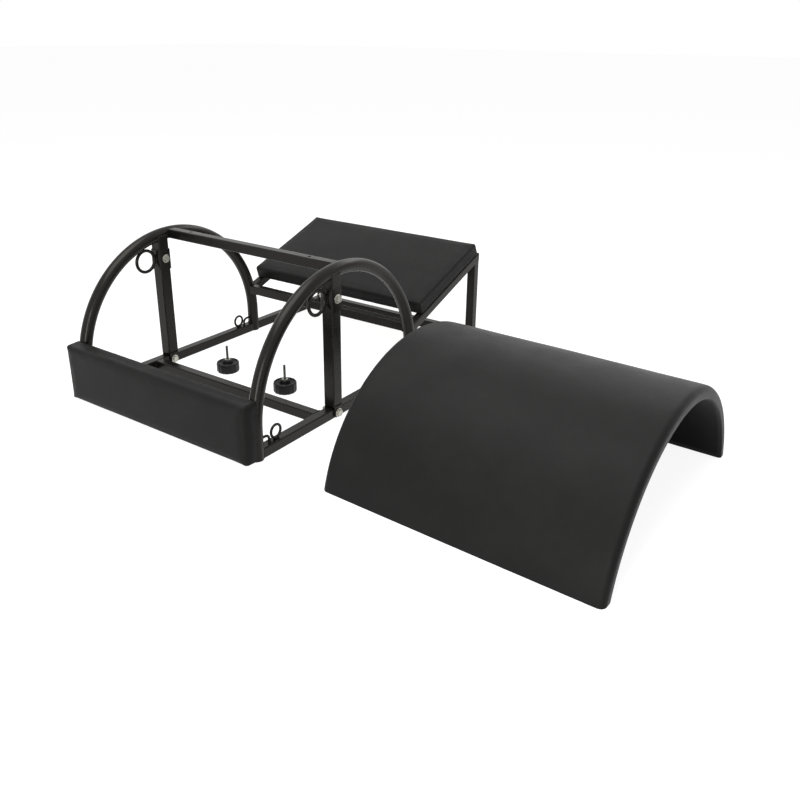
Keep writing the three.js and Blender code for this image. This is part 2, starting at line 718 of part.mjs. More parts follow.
function add_barrel() {
  const half = barrel_length / 2;
  const slack = cover + gap;
  const pocket_length = barrel_length - 2 * cover;
  const inner_length = barrel_length - 2 * slack;
  const pocket = cut(
    arch_geometry(plain_outline(pocket_length, barrel_inner - overrun, barrel_board_outer + gap)),
    below(cover),
  );
  const nut_places = [-1, 1].map((side) => side * knob_spacing / 2);
  const board_top = barrel_board_outer - barrel_drop;
  const flange_room = nut_places.map((x) => (
    drill_z(tnut_flange + 4 * gap, 2 * (tnut_flange_thickness + 3 * gap), x, 0, board_top)
  ));
  const nut_holes = nut_places.map((x) => (
    drill_z(tnut_barrel + 2 * gap, 4 * (barrel_board + lining), x, 0, board_top)
  ));
  const pad = cut(arch_geometry(barrel_outline()), below(0), pocket, ...flange_room);
  add(barrel, 'barrel_pad', pad, vinyl, [half, 0, 0]);
  const wood = arch_geometry(plain_outline(inner_length, barrel_board_inner + gap, barrel_board_outer));
  add(barrel, 'barrel_board', cut(wood, below(slack), ...nut_holes), plywood, [half, 0, 0]);
  const cloth = arch_geometry(plain_outline(inner_length, barrel_inner, barrel_board_inner));
  add(barrel, 'barrel_lining', cut(cloth, below(slack), ...nut_holes), lining_cloth, [half, 0, 0]);
  const [bore, tube_r, flange_r] = [stud / 2 + gap, tnut_barrel / 2, tnut_flange / 2];
  const depth = barrel_board + lining;
  const nut = [
    [bore, -depth], [tube_r, -depth], [tube_r, gap], [flange_r, gap],
    [flange_r, gap + tnut_flange_thickness], [bore, gap + tnut_flange_thickness], [bore, -depth],
  ];
  for (const [name, side] of Object.entries(sides)) {
    add(barrel, `threaded_insert_${name}`, turned(nut, bolt_sides), zinc,
      [half + side * knob_spacing / 2, 0, board_top]);
  }
  barrel.position.set(barrel_left_x, barrel_y, 0);
  barrel.rotation.z = barrel_turn;
}

// Hand knobs, standing on the floor with their studs up

function knob_geometry() {
  const r = knob / 2;
  const bore = stud / 2 + gap;
  const rim = r - knob_rim;
  const dish = knob_height - knob_dish;
  const boss = knob_boss / 2;
  const top = knob_height + knob_boss_rise;
  const floor = knob_height - stud_depth - gap;
  const half_edge = knob_edge * (1 - Math.SQRT1_2);
  return turned([
    [0, 0], [r - knob_edge, 0], [r - half_edge, half_edge], [r, knob_edge],
    [r, knob_height - knob_edge], [r - half_edge, knob_height - half_edge], [r - knob_edge, knob_height],
    [rim, knob_height], [rim - knob_dish, dish], [boss + knob_dish, dish], [boss, top], [bore, top],
    [bore, floor], [0, floor],
  ], knob_sides);
}

function stud_geometry() {
  const r = stud / 2;
  const collar = stud_collar / 2;
  const low = -stud_depth - knob_boss_rise;
  return turned([
    [0, low], [r, low], [r, gap], [collar, gap], [collar, gap + stud_collar_height],
    [r, gap + stud_collar_height], [r, stud_length + stud_collar_height - stud_tip],
    [r - stud_tip, stud_length + stud_collar_height], [0, stud_length + stud_collar_height],
  ], bolt_sides);
}

function add_knobs() {
  const boss_top = knob_height + knob_boss_rise;
  for (const [name, [x, y]] of Object.entries(knob_places)) {
    add(frame, `knob_${name}`, knob_geometry(), black_plastic, [x, y, 0]);
    add(frame, `knob_stud_${name}`, stud_geometry(), zinc, [x, y, boss_top]);
    const disc = flat_ring(knob_washer, stud + 2 * gap, knob_washer_thickness, bolt_sides);
    add(frame, `knob_washer_${name}`, disc, zinc, [x, y, boss_top + 2 * gap + stud_collar_height]);
  }
}

add_base();
add_hoops();
add_posts();
add_bolts();
add_rings();
add_seat_frame();
add_footboard();
add_seat_pad();
add_barrel();
add_knobs();

// The origin goes to the middle of the footprint.
corrector.updateMatrixWorld(true);
const footprint = new THREE.Box3().setFromObject(corrector, true);
const center = footprint.getCenter(new THREE.Vector3());
corrector.position.set(-center.x, -center.y, -footprint.min.z);

export default corrector;
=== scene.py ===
"""A pilates spine corrector on a pale floor, with its barrel pad and its two hand knobs taken off."""
import math

import bmesh
import bpy
import numpy as np
from mathutils import Matrix, Vector


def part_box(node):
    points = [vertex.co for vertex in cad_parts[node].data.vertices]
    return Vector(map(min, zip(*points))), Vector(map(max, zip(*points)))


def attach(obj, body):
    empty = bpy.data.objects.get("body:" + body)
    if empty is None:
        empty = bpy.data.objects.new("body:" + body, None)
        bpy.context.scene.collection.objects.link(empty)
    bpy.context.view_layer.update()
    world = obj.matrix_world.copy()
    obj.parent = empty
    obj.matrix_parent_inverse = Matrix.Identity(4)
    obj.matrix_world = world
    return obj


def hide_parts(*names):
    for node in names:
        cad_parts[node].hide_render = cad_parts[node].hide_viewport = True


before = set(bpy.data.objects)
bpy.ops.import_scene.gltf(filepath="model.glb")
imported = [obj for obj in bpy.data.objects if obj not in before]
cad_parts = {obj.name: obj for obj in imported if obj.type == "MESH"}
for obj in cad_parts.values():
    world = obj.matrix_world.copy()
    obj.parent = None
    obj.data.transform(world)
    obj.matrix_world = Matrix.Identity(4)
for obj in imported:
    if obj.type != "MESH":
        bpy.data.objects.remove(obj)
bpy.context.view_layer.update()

# Sizes in millimetres. Places are measured from the ground point under the hoops' centre.
MM = 0.001
BAR = 22.0
CORNER = 2.4
RAIL_X = 260.0
HOOP_R = 264.5
HOOP_TUBE = 28.0
HOOP_WALL = 1.5
HOOP_Z = 60.0
BAR_Z = HOOP_Z + HOOP_R
MID_TUBE_Y = -72.0
REAR_Y = 573.0
LEG_Y = REAR_Y - BAR / 2
FRONT_TUBE = (-256.7, 66.0)
POST = 28.0
POST_WALL = 1.5
POST_Y = -28.5
POST_TOP = 287.0
LUG_TOP = 27.0
BOLT_Z = (11.0, 268.0)
BRACKET = (241.3, 289.3)
BRACKET_HALF = 16.3
BRACKET_PLATE = 2.0
SEAT_BAR_Z = 120.0
SEAT_BAR = (math.sqrt(HOOP_R ** 2 - (SEAT_BAR_Z - HOOP_Z) ** 2), SEAT_BAR_Z)
SEAT_SLOPE = math.radians(19.6)
SEAT_TUBE = 20.0
SEAT_TUBE_X = RAIL_X + (BAR - SEAT_TUBE) / 2
SEAT_Z = 102.0
RING = (50.5, 7.5)
FOOT_RING = (27.0, 5.5)
EYELET = (36.0, 39.0, 13.0, 5.5)
FLANGE = 20.0
KNOB_PLACES = {"left": (-102.0, 13.0), "right": (90.0, 5.5)}
BARREL_PLACE = (444.5, 14.9)
BARREL_TURN = math.radians(-1.96)
BARREL_DROP = 71.0
BARREL_LENGTH = 545.0
BARREL_IN = 279.0
BARREL_OUT = 305.5
FOOTBOARD = (545.0, 129.0, 36.0)
FOOTBOARD_REAR = -268.0
FOOTBOARD_LOW = 0.4
SEAT_PAD = (542.0, 284.0, 34.0)
SEAT_PAD_START = 53.0
KNOB_HOLE_X = 180.0
AIR = 0.3
ON_AXIS = 0.01
THREAD_DEPTH = 0.42  # of the pitch
SIDES = {"left": -1, "right": 1}
WARM_TINT = (1.0, 0.95, 0.88, 1.0)
VINYL_PEBBLES = 820.0
PEBBLE_RISE = 0.00022

crossbar_low, crossbar_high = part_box("crossbar")
HOME = Vector(((crossbar_low.x + crossbar_high.x) / 2, (crossbar_low.y + crossbar_high.y) / 2, 0.0))


# Nodes, and the shader groups that several finishes share

def feed(tree, socket, value):
    """Links a socket to another one, or sets its value."""
    if isinstance(value, bpy.types.NodeSocket):
        tree.links.new(value, socket)
    else:
        socket.default_value = value


def node(tree, kind, **values):
    """A new node; each keyword names an input and gives its value or the socket that feeds it."""
    made = tree.nodes.new(kind)
    for name, value in values.items():
        feed(tree, made.inputs[name.replace("_", " ")], value)
    return made


def new_tree(kind, name, inputs, outputs):
    """A node tree with named sockets, each given as (name, kind) or (name, kind, default)."""
    tree = bpy.data.node_groups.new(name, kind)
    for way, sockets in (("INPUT", inputs), ("OUTPUT", outputs)):
        for socket_name, socket_kind, *default in sockets:
            socket = tree.interface.new_socket(socket_name, in_out=way, socket_type="NodeSocket" + socket_kind)
            if default:
                socket.default_value = default[0]
    return tree, tree.nodes.new("NodeGroupInput").outputs, tree.nodes.new("NodeGroupOutput").inputs


def noise(tree, vector, scale, detail=3.0, roughness=0.5):
    return node(tree, "ShaderNodeTexNoise", Vector=vector, Scale=scale, Detail=detail,
                Roughness=roughness).outputs["Fac"]


def math_node(tree, operation, *values, clamp=False):
    made = tree.nodes.new("ShaderNodeMath")
    made.operation, made.use_clamp = operation, clamp
    for socket, value in zip(made.inputs, values):
        feed(tree, socket, value)
    return made.outputs[0]


def remap(tree, value, low, high, to_low=0.0, to_high=1.0):
    return node(tree, "ShaderNodeMapRange", Value=value, From_Min=low, From_Max=high, To_Min=to_low,
                To_Max=to_high).outputs["Result"]


def make_grain_group():
    """Embossed grain of vinyl: small pebbles between fine creases."""
    group, given, out = new_tree("ShaderNodeTree", "vinyl_grain",
                                 [("Vector", "Vector"), ("Pebbles per metre", "Float", 800.0)],
                                 [("Height", "Float"), ("Crease", "Float")])
    warp = node(group, "ShaderNodeTexNoise", Vector=given["Vector"], Scale=300.0)
    shift = group.nodes.new("ShaderNodeVectorMath")
    shift.operation = "MULTIPLY_ADD"
    for socket, value in zip(shift.inputs, (warp.outputs["Color"], (0.0012,) * 3, given["Vector"])):
        feed(group, socket, value)
    cells = node(group, "ShaderNodeTexVoronoi", Vector=shift.outputs["Vector"], Scale=given["Pebbles per metre"])
    cells.feature = "DISTANCE_TO_EDGE"
    rise = math_node(group, "POWER", remap(group, cells.outputs["Distance"], 0.0, 0.28), 0.6)
    fine = noise(group, given["Vector"], 2600.0, 2.0)
    feed(group, out["Height"], math_node(group, "ADD", rise, math_node(group, "MULTIPLY", fine, 0.35)))
    feed(group, out["Crease"], math_node(group, "SUBTRACT", 1.0, rise, clamp=True))
    return group


def make_dust_group():
    """Faint dust and smudges, thickest on faces that look up."""
    group, given, out = new_tree("ShaderNodeTree", "settled_dust", [("Vector", "Vector"), ("Amount", "Float", 0.3)],
                                 [("Mask", "Float"), ("Cloud", "Float")])
    geometry = group.nodes.new("ShaderNodeNewGeometry")
    split = node(group, "ShaderNodeSeparateXYZ", Vector=geometry.outputs["Normal"])
    upward = remap(group, split.outputs["Z"], -0.2, 1.0, 0.25, 1.0)
    cloud = noise(group, given["Vector"], 9.0, 5.0, 0.6)
    specks = remap(group, noise(group, given["Vector"], 420.0, 4.0, 0.7), 0.56, 0.72)
    mask = math_node(group, "MULTIPLY", math_node(group, "ADD", remap(group, cloud, 0.42, 0.75), specks), upward)
    feed(group, out["Mask"], math_node(group, "MULTIPLY", mask, given["Amount"], clamp=True))
    feed(group, out["Cloud"], cloud)
    return group


def make_rub_group():
    """Bare or polished spots along the corners that a piece marks with its rub attribute."""
    group, given, out = new_tree("ShaderNodeTree", "corner_rub", [("Vector", "Vector"), ("Strength", "Float", 0.6)],
                                 [("Mask", "Float")])
    mark = group.nodes.new("ShaderNodeAttribute")
    mark.attribute_name = "rub"
    patches = remap(group, noise(group, given["Vector"], 38.0, 6.0, 0.65), 0.52, 0.7)
    streaks = remap(group, noise(group, given["Vector"], 350.0, 3.0, 0.6), 0.4, 0.7)
    both = math_node(group, "MULTIPLY", math_node(group, "MULTIPLY", patches, streaks), mark.outputs["Fac"])
    feed(group, out["Mask"], math_node(group, "MULTIPLY", both, given["Strength"], clamp=True))
    return group


GRAIN = make_grain_group()
DUST = make_dust_group()
RUB = make_rub_group()


class Finish:
    """A material under construction: its tree, its shader and the coordinates that it reads."""

    def __init__(self, name, specular=None, **values):
        self.material = bpy.data.materials.new(name)
        self.material.use_nodes = True
        self.tree = self.material.node_tree
        self.shader = self.tree.nodes["Principled BSDF"].inputs
        self.place = self.tree.nodes.new("ShaderNodeTexCoord").outputs["Object"]
        if specular is not None:
            self.shader["Specular IOR Level"].default_value = specular
        for key, value in values.items():
            self.shader[key.replace("_", " ")].default_value = value

    def use(self, group, **values):
        made = self.tree.nodes.new("ShaderNodeGroup")
        made.node_tree = group
        for key, value in dict(values, Vector=self.place).items():
            feed(self.tree, made.inputs[key.replace("_", " ")], value)
        return made.outputs

    def cloud(self, scale, detail=3.0, roughness=0.5):
        return noise(self.tree, self.place, scale, detail, roughness)

    def stretched(self, *scale):
        """The coordinates scaled along each axis, for grain or fibres."""
        return node(self.tree, "ShaderNodeMapping", Vector=self.place, Scale=scale).outputs["Vector"]

    def remap(self, value, low=0.3, high=0.7, to_low=0.0, to_high=1.0):
        return remap(self.tree, value, low, high, to_low, to_high)

    def math(self, operation, *values):
        return math_node(self.tree, operation, *values)

    def mix(self, factor, a, b):
        made = self.tree.nodes.new("ShaderNodeMix")
        made.data_type = "RGBA"
        feed(self.tree, made.inputs["Factor"], factor)
        for key, value in (("A", a), ("B", b)):
            feed(self.tree, made.inputs[key], (*value, 1.0) if isinstance(value, tuple) else value)
        return made.outputs["Result"]

    def color(self, socket):
        feed(self.tree, self.shader["Base Color"], socket)

    def roughness(self, socket):
        feed(self.tree, self.shader["Roughness"], socket)

    def rough(self, low, high, scale, detail=4.0):
        """Roughness that drifts between two values."""
        self.roughness(self.remap(self.cloud(scale, detail), 0.3, 0.7, low, high))

    def bump(self, height, strength, distance, under=None):
        made = node(self.tree, "ShaderNodeBump", Strength=strength, Distance=distance, Height=height)
        if under is not None:
            feed(self.tree, made.inputs["Normal"], under)
        feed(self.tree, self.shader["Normal"], made.outputs["Normal"])
        return made.outputs["Normal"]


def powder_coat():
    f = Finish("black_powder_coat", 0.2, Specular_Tint=WARM_TINT)
    dust = f.use(DUST, Amount=0.10)
    base = f.mix(dust["Cloud"], (0.0050, 0.0048, 0.0043), (0.0080, 0.0077, 0.0069))
    dusty = f.mix(dust["Mask"], base, (0.060, 0.058, 0.053))
    f.color(f.mix(f.use(RUB, Strength=0.4)["Mask"], dusty, (0.10, 0.098, 0.092)))
    f.rough(0.23, 0.31, 24.0)
    f.bump(f.cloud(700.0, 3.0, 0.55), 0.16, 0.0005)
    return f.material


def dusty_finish(name, amount, base, dust, rough, grain, strength, rise, **values):
    """Dark coated steel or plastic with dust on it, and a fine grain."""
    f = Finish(name, 0.22, **values)
    f.color(f.mix(f.use(DUST, Amount=amount)["Mask"], base, dust))
    f.rough(*rough)
    f.bump(f.cloud(*grain), strength, rise)
    return f.material


def vinyl():
    f = Finish("black_vinyl", 0.09)
    grain = f.use(GRAIN, Pebbles_per_metre=VINYL_PEBBLES)
    dust = f.use(DUST, Amount=0.06)
    base = f.mix(dust["Cloud"], (0.0098, 0.0101, 0.0096), (0.0133, 0.0136, 0.0129))
    # Painted shade: the base colour is darkened towards (0.006, 0.006, 0.006) in the grain's creases.
    crease_shaded = f.mix(f.math("MULTIPLY", grain["Crease"], 0.4), base, (0.006, 0.006, 0.006))
    f.color(f.mix(dust["Mask"], crease_shaded, (0.07, 0.069, 0.066)))
    sheen = f.remap(f.cloud(14.0, 5.0), 0.3, 0.7, 0.32, 0.41)
    f.roughness(f.math("ADD", sheen, f.math("MULTIPLY", grain["Crease"], 0.12)))
    slack = f.bump(f.cloud(17.0, 2.0, 0.4), 0.35, 0.0016)
    f.bump(grain["Height"], 0.5, PEBBLE_RISE, under=slack)
    return f.material


def lining_cloth():
    """Needled lining cloth: short crossing fibres."""
    f = Finish("lining_cloth", 0.12, Sheen_Weight=0.12, Sheen_Roughness=0.6)
    along = noise(f.tree, f.stretched(1.0, 0.18, 1.0), 900.0, 4.0, 0.7)
    across = f.cloud(1400.0, 4.0, 0.7)
    felt = f.math("ADD", along, across)
    f.color(f.mix(f.remap(felt, 0.8, 1.3), (0.0045, 0.0039, 0.0039), (0.0125, 0.0108, 0.0108)))
    f.roughness(f.remap(across, 0.3, 0.7, 0.85, 0.95))
    f.bump(felt, 0.5, 0.0005)
    return f.material


def plywood():
    """Face veneer with long grain along X."""
    f = Finish("birch_plywood", 0.35)
    along = f.stretched(0.08, 1.0, 1.0)
    bands, pores = noise(f.tree, along, 60.0, 6.0, 0.6), noise(f.tree, along, 900.0, 3.0, 0.6)
    wood = f.mix(f.remap(bands), (0.42, 0.29, 0.16), (0.60, 0.45, 0.28))
    f.color(f.mix(f.remap(pores, 0.58, 0.75, 0.0, 0.6), wood, (0.25, 0.15, 0.08)))
    f.roughness(f.remap(bands, 0.3, 0.7, 0.55, 0.7))
    f.bump(pores, 0.3, 0.0003)
    return f.material


def patchy_metal(name, metallic, patches, dark, light, rough, grain):
    f = Finish(name, Metallic=metallic)
    f.color(f.mix(f.remap(f.cloud(patches, 4.0, 0.6), 0.35, 0.65), dark, light))
    f.rough(*rough)
    f.bump(f.cloud(grain), 0.15, 0.0002)
    return f.material


COAT = powder_coat()
WELD = dusty_finish("coated_weld", 0.2, (0.0066, 0.0063, 0.0057), (0.07, 0.068, 0.063), (0.34, 0.52, 160.0),
                    (900.0, 4.0, 0.6), 0.4, 0.0008, Specular_Tint=WARM_TINT)
VINYL = vinyl()
LINING = lining_cloth()
PLYWOOD = plywood()
ZINC = patchy_metal("zinc_plate", 1.0, 260.0, (0.33, 0.33, 0.29), (0.50, 0.49, 0.44), (0.24, 0.40, 700.0), 1800.0)
STUD = patchy_metal("stud_steel", 0.8, 320.0, (0.060, 0.059, 0.053), (0.115, 0.113, 0.100), (0.36, 0.52, 900.0),
                    2200.0)
PLASTIC = dusty_finish("knob_plastic", 0.14, (0.0075, 0.0075, 0.0078), (0.07, 0.07, 0.068), (0.34, 0.46, 80.0),
                       (1500.0,), 0.18, 0.0003)


# Making and placing meshes

def smooth(data, sharp):
    """Shades a mesh smooth, with sharp edges above that angle."""
    for polygon in data.polygons:
        polygon.use_smooth = True
    if sharp is not None:
        data.set_sharp_from_angle(angle=math.radians(sharp))


def in_scene(name, data):
    obj = bpy.data.objects.new(name, data)
    bpy.context.scene.collection.objects.link(obj)
    return obj


def link(name, data, material, sharp):
    obj = in_scene(name, data)
    data.materials.clear()
    data.materials.append(material)
    smooth(data, sharp)
    return obj


class Shape:
    """Points in millimetres and faces, put together before they become one mesh."""

    def __init__(self):
        self.points, self.faces, self.rub = [], [], []

    def add(self, points, faces, rub=None):
        start = len(self.points)
        self.points += [tuple(float(c) for c in p) for p in points]
        self.faces += [[start + i for i in face] for face in faces]
        self.rub += list(rub) if rub is not None else [0.0] * len(points)
        return self

    def moved(self, matrix):
        self.points = [tuple(matrix @ Vector(p)) for p in self.points]
        return self

    def join(self, other):
        return self.add(other.points, other.faces, other.rub)

    def mesh(self, name):
        mesh = bpy.data.meshes.new(name)
        mesh.from_pydata([tuple(HOME + Vector(p) * MM) for p in self.points], [], self.faces)
        mark = mesh.attributes.new("rub", "FLOAT", "POINT")
        mark.data.foreach_set("value", self.rub)
        work = bmesh.new()
        work.from_mesh(mesh)
        bmesh.ops.remove_doubles(work, verts=work.verts, dist=0.02 * MM)
        bmesh.ops.recalc_face_normals(work, faces=work.faces)
        work.to_mesh(mesh)
        work.free()
        return mesh

    def piece(self, name, material, sharp=40.0):
        return link(name, self.mesh(name), material, sharp)


def settle(obj, body, *nodes, slot):
    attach(obj, body)
    if nodes:
        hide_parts(*nodes)
    return obj


def coated(shape, name, *nodes):
    """A piece of the coated steel frame."""
    return settle(shape.piece(name, COAT), "frame", *nodes, slot="black_powder_coat")


def spots(count):
    """Cosine and sine at that many even steps round a circle."""
    return [(math.cos(2 * math.pi * k / count), math.sin(2 * math.pi * k / count)) for k in range(count)]


def loft(rings, close_along=False, rub=None):
    """Skins rings of equally many points, and closes both ends or joins the last ring to the first."""
    count = len(rings[0])
    points = [p for ring in rings for p in ring]
    faces = []
    spans = len(rings) if close_along else len(rings) - 1
    for i in range(spans):
        j = (i + 1) % len(rings)
        for k in range(count):
            m = (k + 1) % count
            faces.append([i * count + k, i * count + m, j * count + m, j * count + k])
    if not close_along:
        faces.append(list(range(count))[::-1])
        faces.append([(len(rings) - 1) * count + k for k in range(count)])
    return Shape().add(points, faces, rub and list(rub) * len(rings))


def rounded_square(width, depth, radius, steps=5, support=0.35):
    """Outline with support points beside each rounded corner, and which points lie on a corner."""
    outline, corner = [], []
    a, b = width / 2 - radius, depth / 2 - radius
    for cx, cy, turn in ((a, b, 0.0), (-a, b, 90.0), (-a, -b, 180.0), (a, -b, 270.0)):
        angles = [math.radians(turn) + math.radians(90.0) * i / steps for i in range(steps + 1)]
        bow = [(cx + radius * math.cos(t), cy + radius * math.sin(t)) for t in angles]
        before, after = (tuple(Vector(bow[i]) + Vector((-math.sin(angles[i]), math.cos(angles[i]))) * way * support)
                         for i, way in ((0, -1), (-1, 1)))
        outline += [before, *bow, after]
        corner += [0.0, 0.4] + [1.0] * (steps - 1) + [0.4, 0.0]
    return outline, corner


def square_bar(start, end, width=BAR, depth=BAR, corner=CORNER, end_cut=None, soft=0.6, support=0.5):
    """A closed rounded square bar; end_cut is the normal of the plane through its end."""
    start, end = Vector(start), Vector(end)
    axis = (end - start).normalized()
    up = Vector((0, 0, 1)) if abs(axis.z) < 0.9 else Vector((0, 1, 0))
    side = axis.cross(up).normalized()
    up = side.cross(axis)
    outline, marks = rounded_square(width, depth, corner)
    rings = []
    for place, normal, inward in ((start, axis, 1), (end, Vector(end_cut or axis), -1)):
        ring = []
        for u, v in outline:
            p = place + side * u + up * v
            ring.append(p + axis * ((place - p).dot(normal) / axis.dot(normal)))
        centre = sum(ring, Vector()) / len(ring)
        trimmed = [[centre + (p - centre) * (1 - 2 * soft / BAR) for p in ring],
                   [p + axis * soft * inward for p in ring]]
        trimmed.append([p + axis * support * inward for p in trimmed[1]])
        rings += trimmed[::inward]
    return loft(rings, rub=marks)


def swept(line, radius, count, closed=False):
    """A round bar along points; the frame is carried along the line without twist."""
    line = [Vector(p) for p in line]
    rings, normal, n = [], None, len(line)
    for i, p in enumerate(line):
        before = line[i - 1] if i > 0 or closed else p
        after = line[(i + 1) % n] if i < n - 1 or closed else p
        tangent = (after - before).normalized()
        if normal is None:
            normal = tangent.orthogonal().normalized()
        normal = (normal - tangent * normal.dot(tangent)).normalized()
        other = tangent.cross(normal)
        rings.append([p + normal * (radius * c) + other * (radius * k) for c, k in spots(count)])
    return loft(rings, close_along=closed)


def turned(profile, count, lobes=None):
    """Turns pairs of radius and height round Z. lobes(radius, angle) may change the radius."""
    rings = []
    for r, z in profile:
        radii = [lobes(r, 2 * math.pi * k / count) if lobes else r for k in range(count)]
        rings.append([(radius * c, radius * k, z) for radius, (c, k) in zip(radii, spots(count))])
    return loft(rings)


def solid_rod(radius, low, high, count):
    return turned([(ON_AXIS, low), (radius, low), (radius, high), (ON_AXIS, high)], count)


def rounded_profile(profile, radius, steps=3):
    """Rounds each inner corner of an open profile."""
    result = [profile[0]]
    for a, b, c in zip(profile, profile[1:], profile[2:]):
        a, b, c = Vector(a), Vector(b), Vector(c)
        reach = min(radius, (a - b).length * 0.45, (c - b).length * 0.45)
        p, q = b + (a - b).normalized() * reach, b + (c - b).normalized() * reach
        for i in range(steps + 1):
            t = i / steps
            result.append(tuple(p * (1 - t) ** 2 + b * 2 * t * (1 - t) + q * t ** 2))
    result.append(profile[-1])
    return result


def evaluated_mesh(obj):
    """The object's mesh with its modifiers, as plain data."""
    graph = bpy.context.evaluated_depsgraph_get()
    return bpy.data.meshes.new_from_object(obj.evaluated_get(graph), depsgraph=graph)


def bake(obj):
    """Applies an object's modifiers and leaves a plain mesh."""
    bpy.context.view_layer.update()
    old, obj.data = obj.data, evaluated_mesh(obj)
    obj.modifiers.clear()
    bpy.data.meshes.remove(old)


# Geometry node trees for what repeats or follows a line

def geometry_tree(name, *inputs):
    return new_tree("GeometryNodeTree", name, [("Geometry", "Geometry"), *inputs, ("Material", "Material")],
                    [("Geometry", "Geometry")])


def finish_tree(tree, geometry, given, out):
    real = node(tree, "GeometryNodeRealizeInstances", Geometry=geometry)
    even = node(tree, "GeometryNodeSetShadeSmooth", Geometry=real.outputs[0])
    dressed = node(tree, "GeometryNodeSetMaterial", Geometry=even.outputs[0], Material=given["Material"])
    feed(tree, out["Geometry"], dressed.outputs[0])
    return tree


def weld_tree():
    """A rippled bead along every line of a curve."""
    tree, given, out = geometry_tree("weld_bead", ("Bead radius", "Float"), ("Ripple length", "Float"))
    fine = node(tree, "GeometryNodeResampleCurve", Curve=given["Geometry"])
    fine.mode = "LENGTH"
    fine.inputs["Length"].default_value = 0.0007
    spot = tree.nodes.new("GeometryNodeInputPosition")
    wobble = node(tree, "ShaderNodeTexNoise", Vector=spot.outputs[0], Scale=220.0)
    run = tree.nodes.new("GeometryNodeSplineParameter")
    turn = math_node(tree, "DIVIDE", run.outputs["Length"], given["Ripple length"])
    size = math_node(tree, "MULTIPLY_ADD", math_node(tree, "PINGPONG", turn, 0.5), 0.35, wobble.outputs["Fac"])
    radius = math_node(tree, "MULTIPLY_ADD", size, 0.8, 0.45)
    sized = node(tree, "GeometryNodeSetCurveRadius", Curve=fine.outputs[0], Radius=radius)
    ring = node(tree, "GeometryNodeCurvePrimitiveCircle", Resolution=8, Radius=given["Bead radius"])
    skin = node(tree, "GeometryNodeCurveToMesh", Curve=sized.outputs[0], Profile_Curve=ring.outputs["Curve"],
                Fill_Caps=True)
    if "Scale" in skin.inputs:
        feed(tree, skin.inputs["Scale"], tree.nodes.new("GeometryNodeInputRadius").outputs[0])
    return finish_tree(tree, skin.outputs[0], given, out)


def thread_tree():
    """A thread's ridge wound up a rod that stands on the origin."""
    tree, given, out = geometry_tree("thread_ridge", ("Rod radius", "Float"), ("Pitch", "Float"), ("Length", "Float"))
    turns = math_node(tree, "DIVIDE", given["Length"], given["Pitch"])
    wound = node(tree, "GeometryNodeCurveSpiral", Resolution=24, Rotations=turns, Start_Radius=given["Rod radius"],
                 End_Radius=given["Rod radius"], Height=given["Length"])
    depth = math_node(tree, "MULTIPLY", given["Pitch"], THREAD_DEPTH)
    ridge = node(tree, "GeometryNodeCurvePrimitiveCircle", Resolution=4, Radius=depth)
    skin = node(tree, "GeometryNodeCurveToMesh", Curve=wound.outputs[0], Profile_Curve=ridge.outputs["Curve"],
                Fill_Caps=True)
    return finish_tree(tree, skin.outputs[0], given, out)


def staple_tree(most_lean=0.25):
    """Staples set along every line of a curve, each a little askew."""
    tree, given, out = geometry_tree("staple_row", ("Spacing", "Float"), ("Crown", "Float"), ("Wire", "Float"),
                                     ("Seed", "Int"))
    row = node(tree, "GeometryNodeCurveToPoints", Curve=given["Geometry"])
    row.mode = "LENGTH"
    feed(tree, row.inputs["Length"], given["Spacing"])
    size = node(tree, "ShaderNodeCombineXYZ", X=given["Crown"], Y=given["Wire"], Z=given["Wire"])
    wire = node(tree, "GeometryNodeMeshCube", Size=size.outputs[0])
    lean = tree.nodes.new("FunctionNodeRandomValue")
    lean.data_type = "FLOAT_VECTOR"
    lean.inputs[0].default_value = (0.0, 0.0, -most_lean)
    lean.inputs[1].default_value = (0.0, 0.0, most_lean)
    feed(tree, lean.inputs["Seed"], given["Seed"])
    aligned = node(tree, "FunctionNodeAlignRotationToVector", Vector=row.outputs["Tangent"])
    aligned.axis = "X"
    askew = tree.nodes.new("FunctionNodeRotateRotation")
    askew.rotation_space = "LOCAL"
    feed(tree, askew.inputs[0], aligned.outputs[0])
    feed(tree, askew.inputs[1], lean.outputs[0])
    set_in = node(tree, "GeometryNodeInstanceOnPoints", Points=row.outputs["Points"], Instance=wire.outputs["Mesh"],
                  Rotation=askew.outputs[0])
    return finish_tree(tree, set_in.outputs[0], given, out)


def run_tree(tree, data, name, **values):
    """Runs a tree on curve or mesh data and gives its result back as a plain mesh."""
    carrier = in_scene(name + "_source", data)
    modifier = carrier.modifiers.new("made", "NODES")
    modifier.node_group = tree
    sockets = {item.name: item.identifier for item in tree.interface.items_tree
               if item.item_type == "SOCKET" and item.in_out == "INPUT"}
    for key, value in values.items():
        modifier[sockets[key.replace("_", " ")]] = value
    bpy.context.view_layer.update()
    result = evaluated_mesh(carrier)
    result.name = name
    bpy.data.objects.remove(carrier)
    return result


def line_data(name, lines):
    """Curve data with one open or closed line for each entry of (points in millimetres, closed)."""
    data = bpy.data.curves.new(name, "CURVE")
    data.dimensions = "3D"
    for points, closed in lines:
        spline = data.splines.new("POLY")
        spline.points.add(len(points) - 1)
        for target, p in zip(spline.points, points):
            target.co = (*(HOME + Vector(p) * MM), 1.0)
        spline.use_cyclic_u = closed
    return data


# Steel frame

def hoop_line(x, lift=0.0, steps=128):
    points = [(x, -HOOP_R, lift), (x, -HOOP_R, lift + 20.0), (x, -HOOP_R, HOOP_Z - 8.0)]
    for i in range(steps + 1):
        angle = math.pi * i / steps
        points.append((x, -HOOP_R * math.cos(angle), HOOP_Z + HOOP_R * math.sin(angle)))
    return points + [(x, HOOP_R, HOOP_Z - 8.0), (x, HOOP_R, lift + 20.0), (x, HOOP_R, lift)]


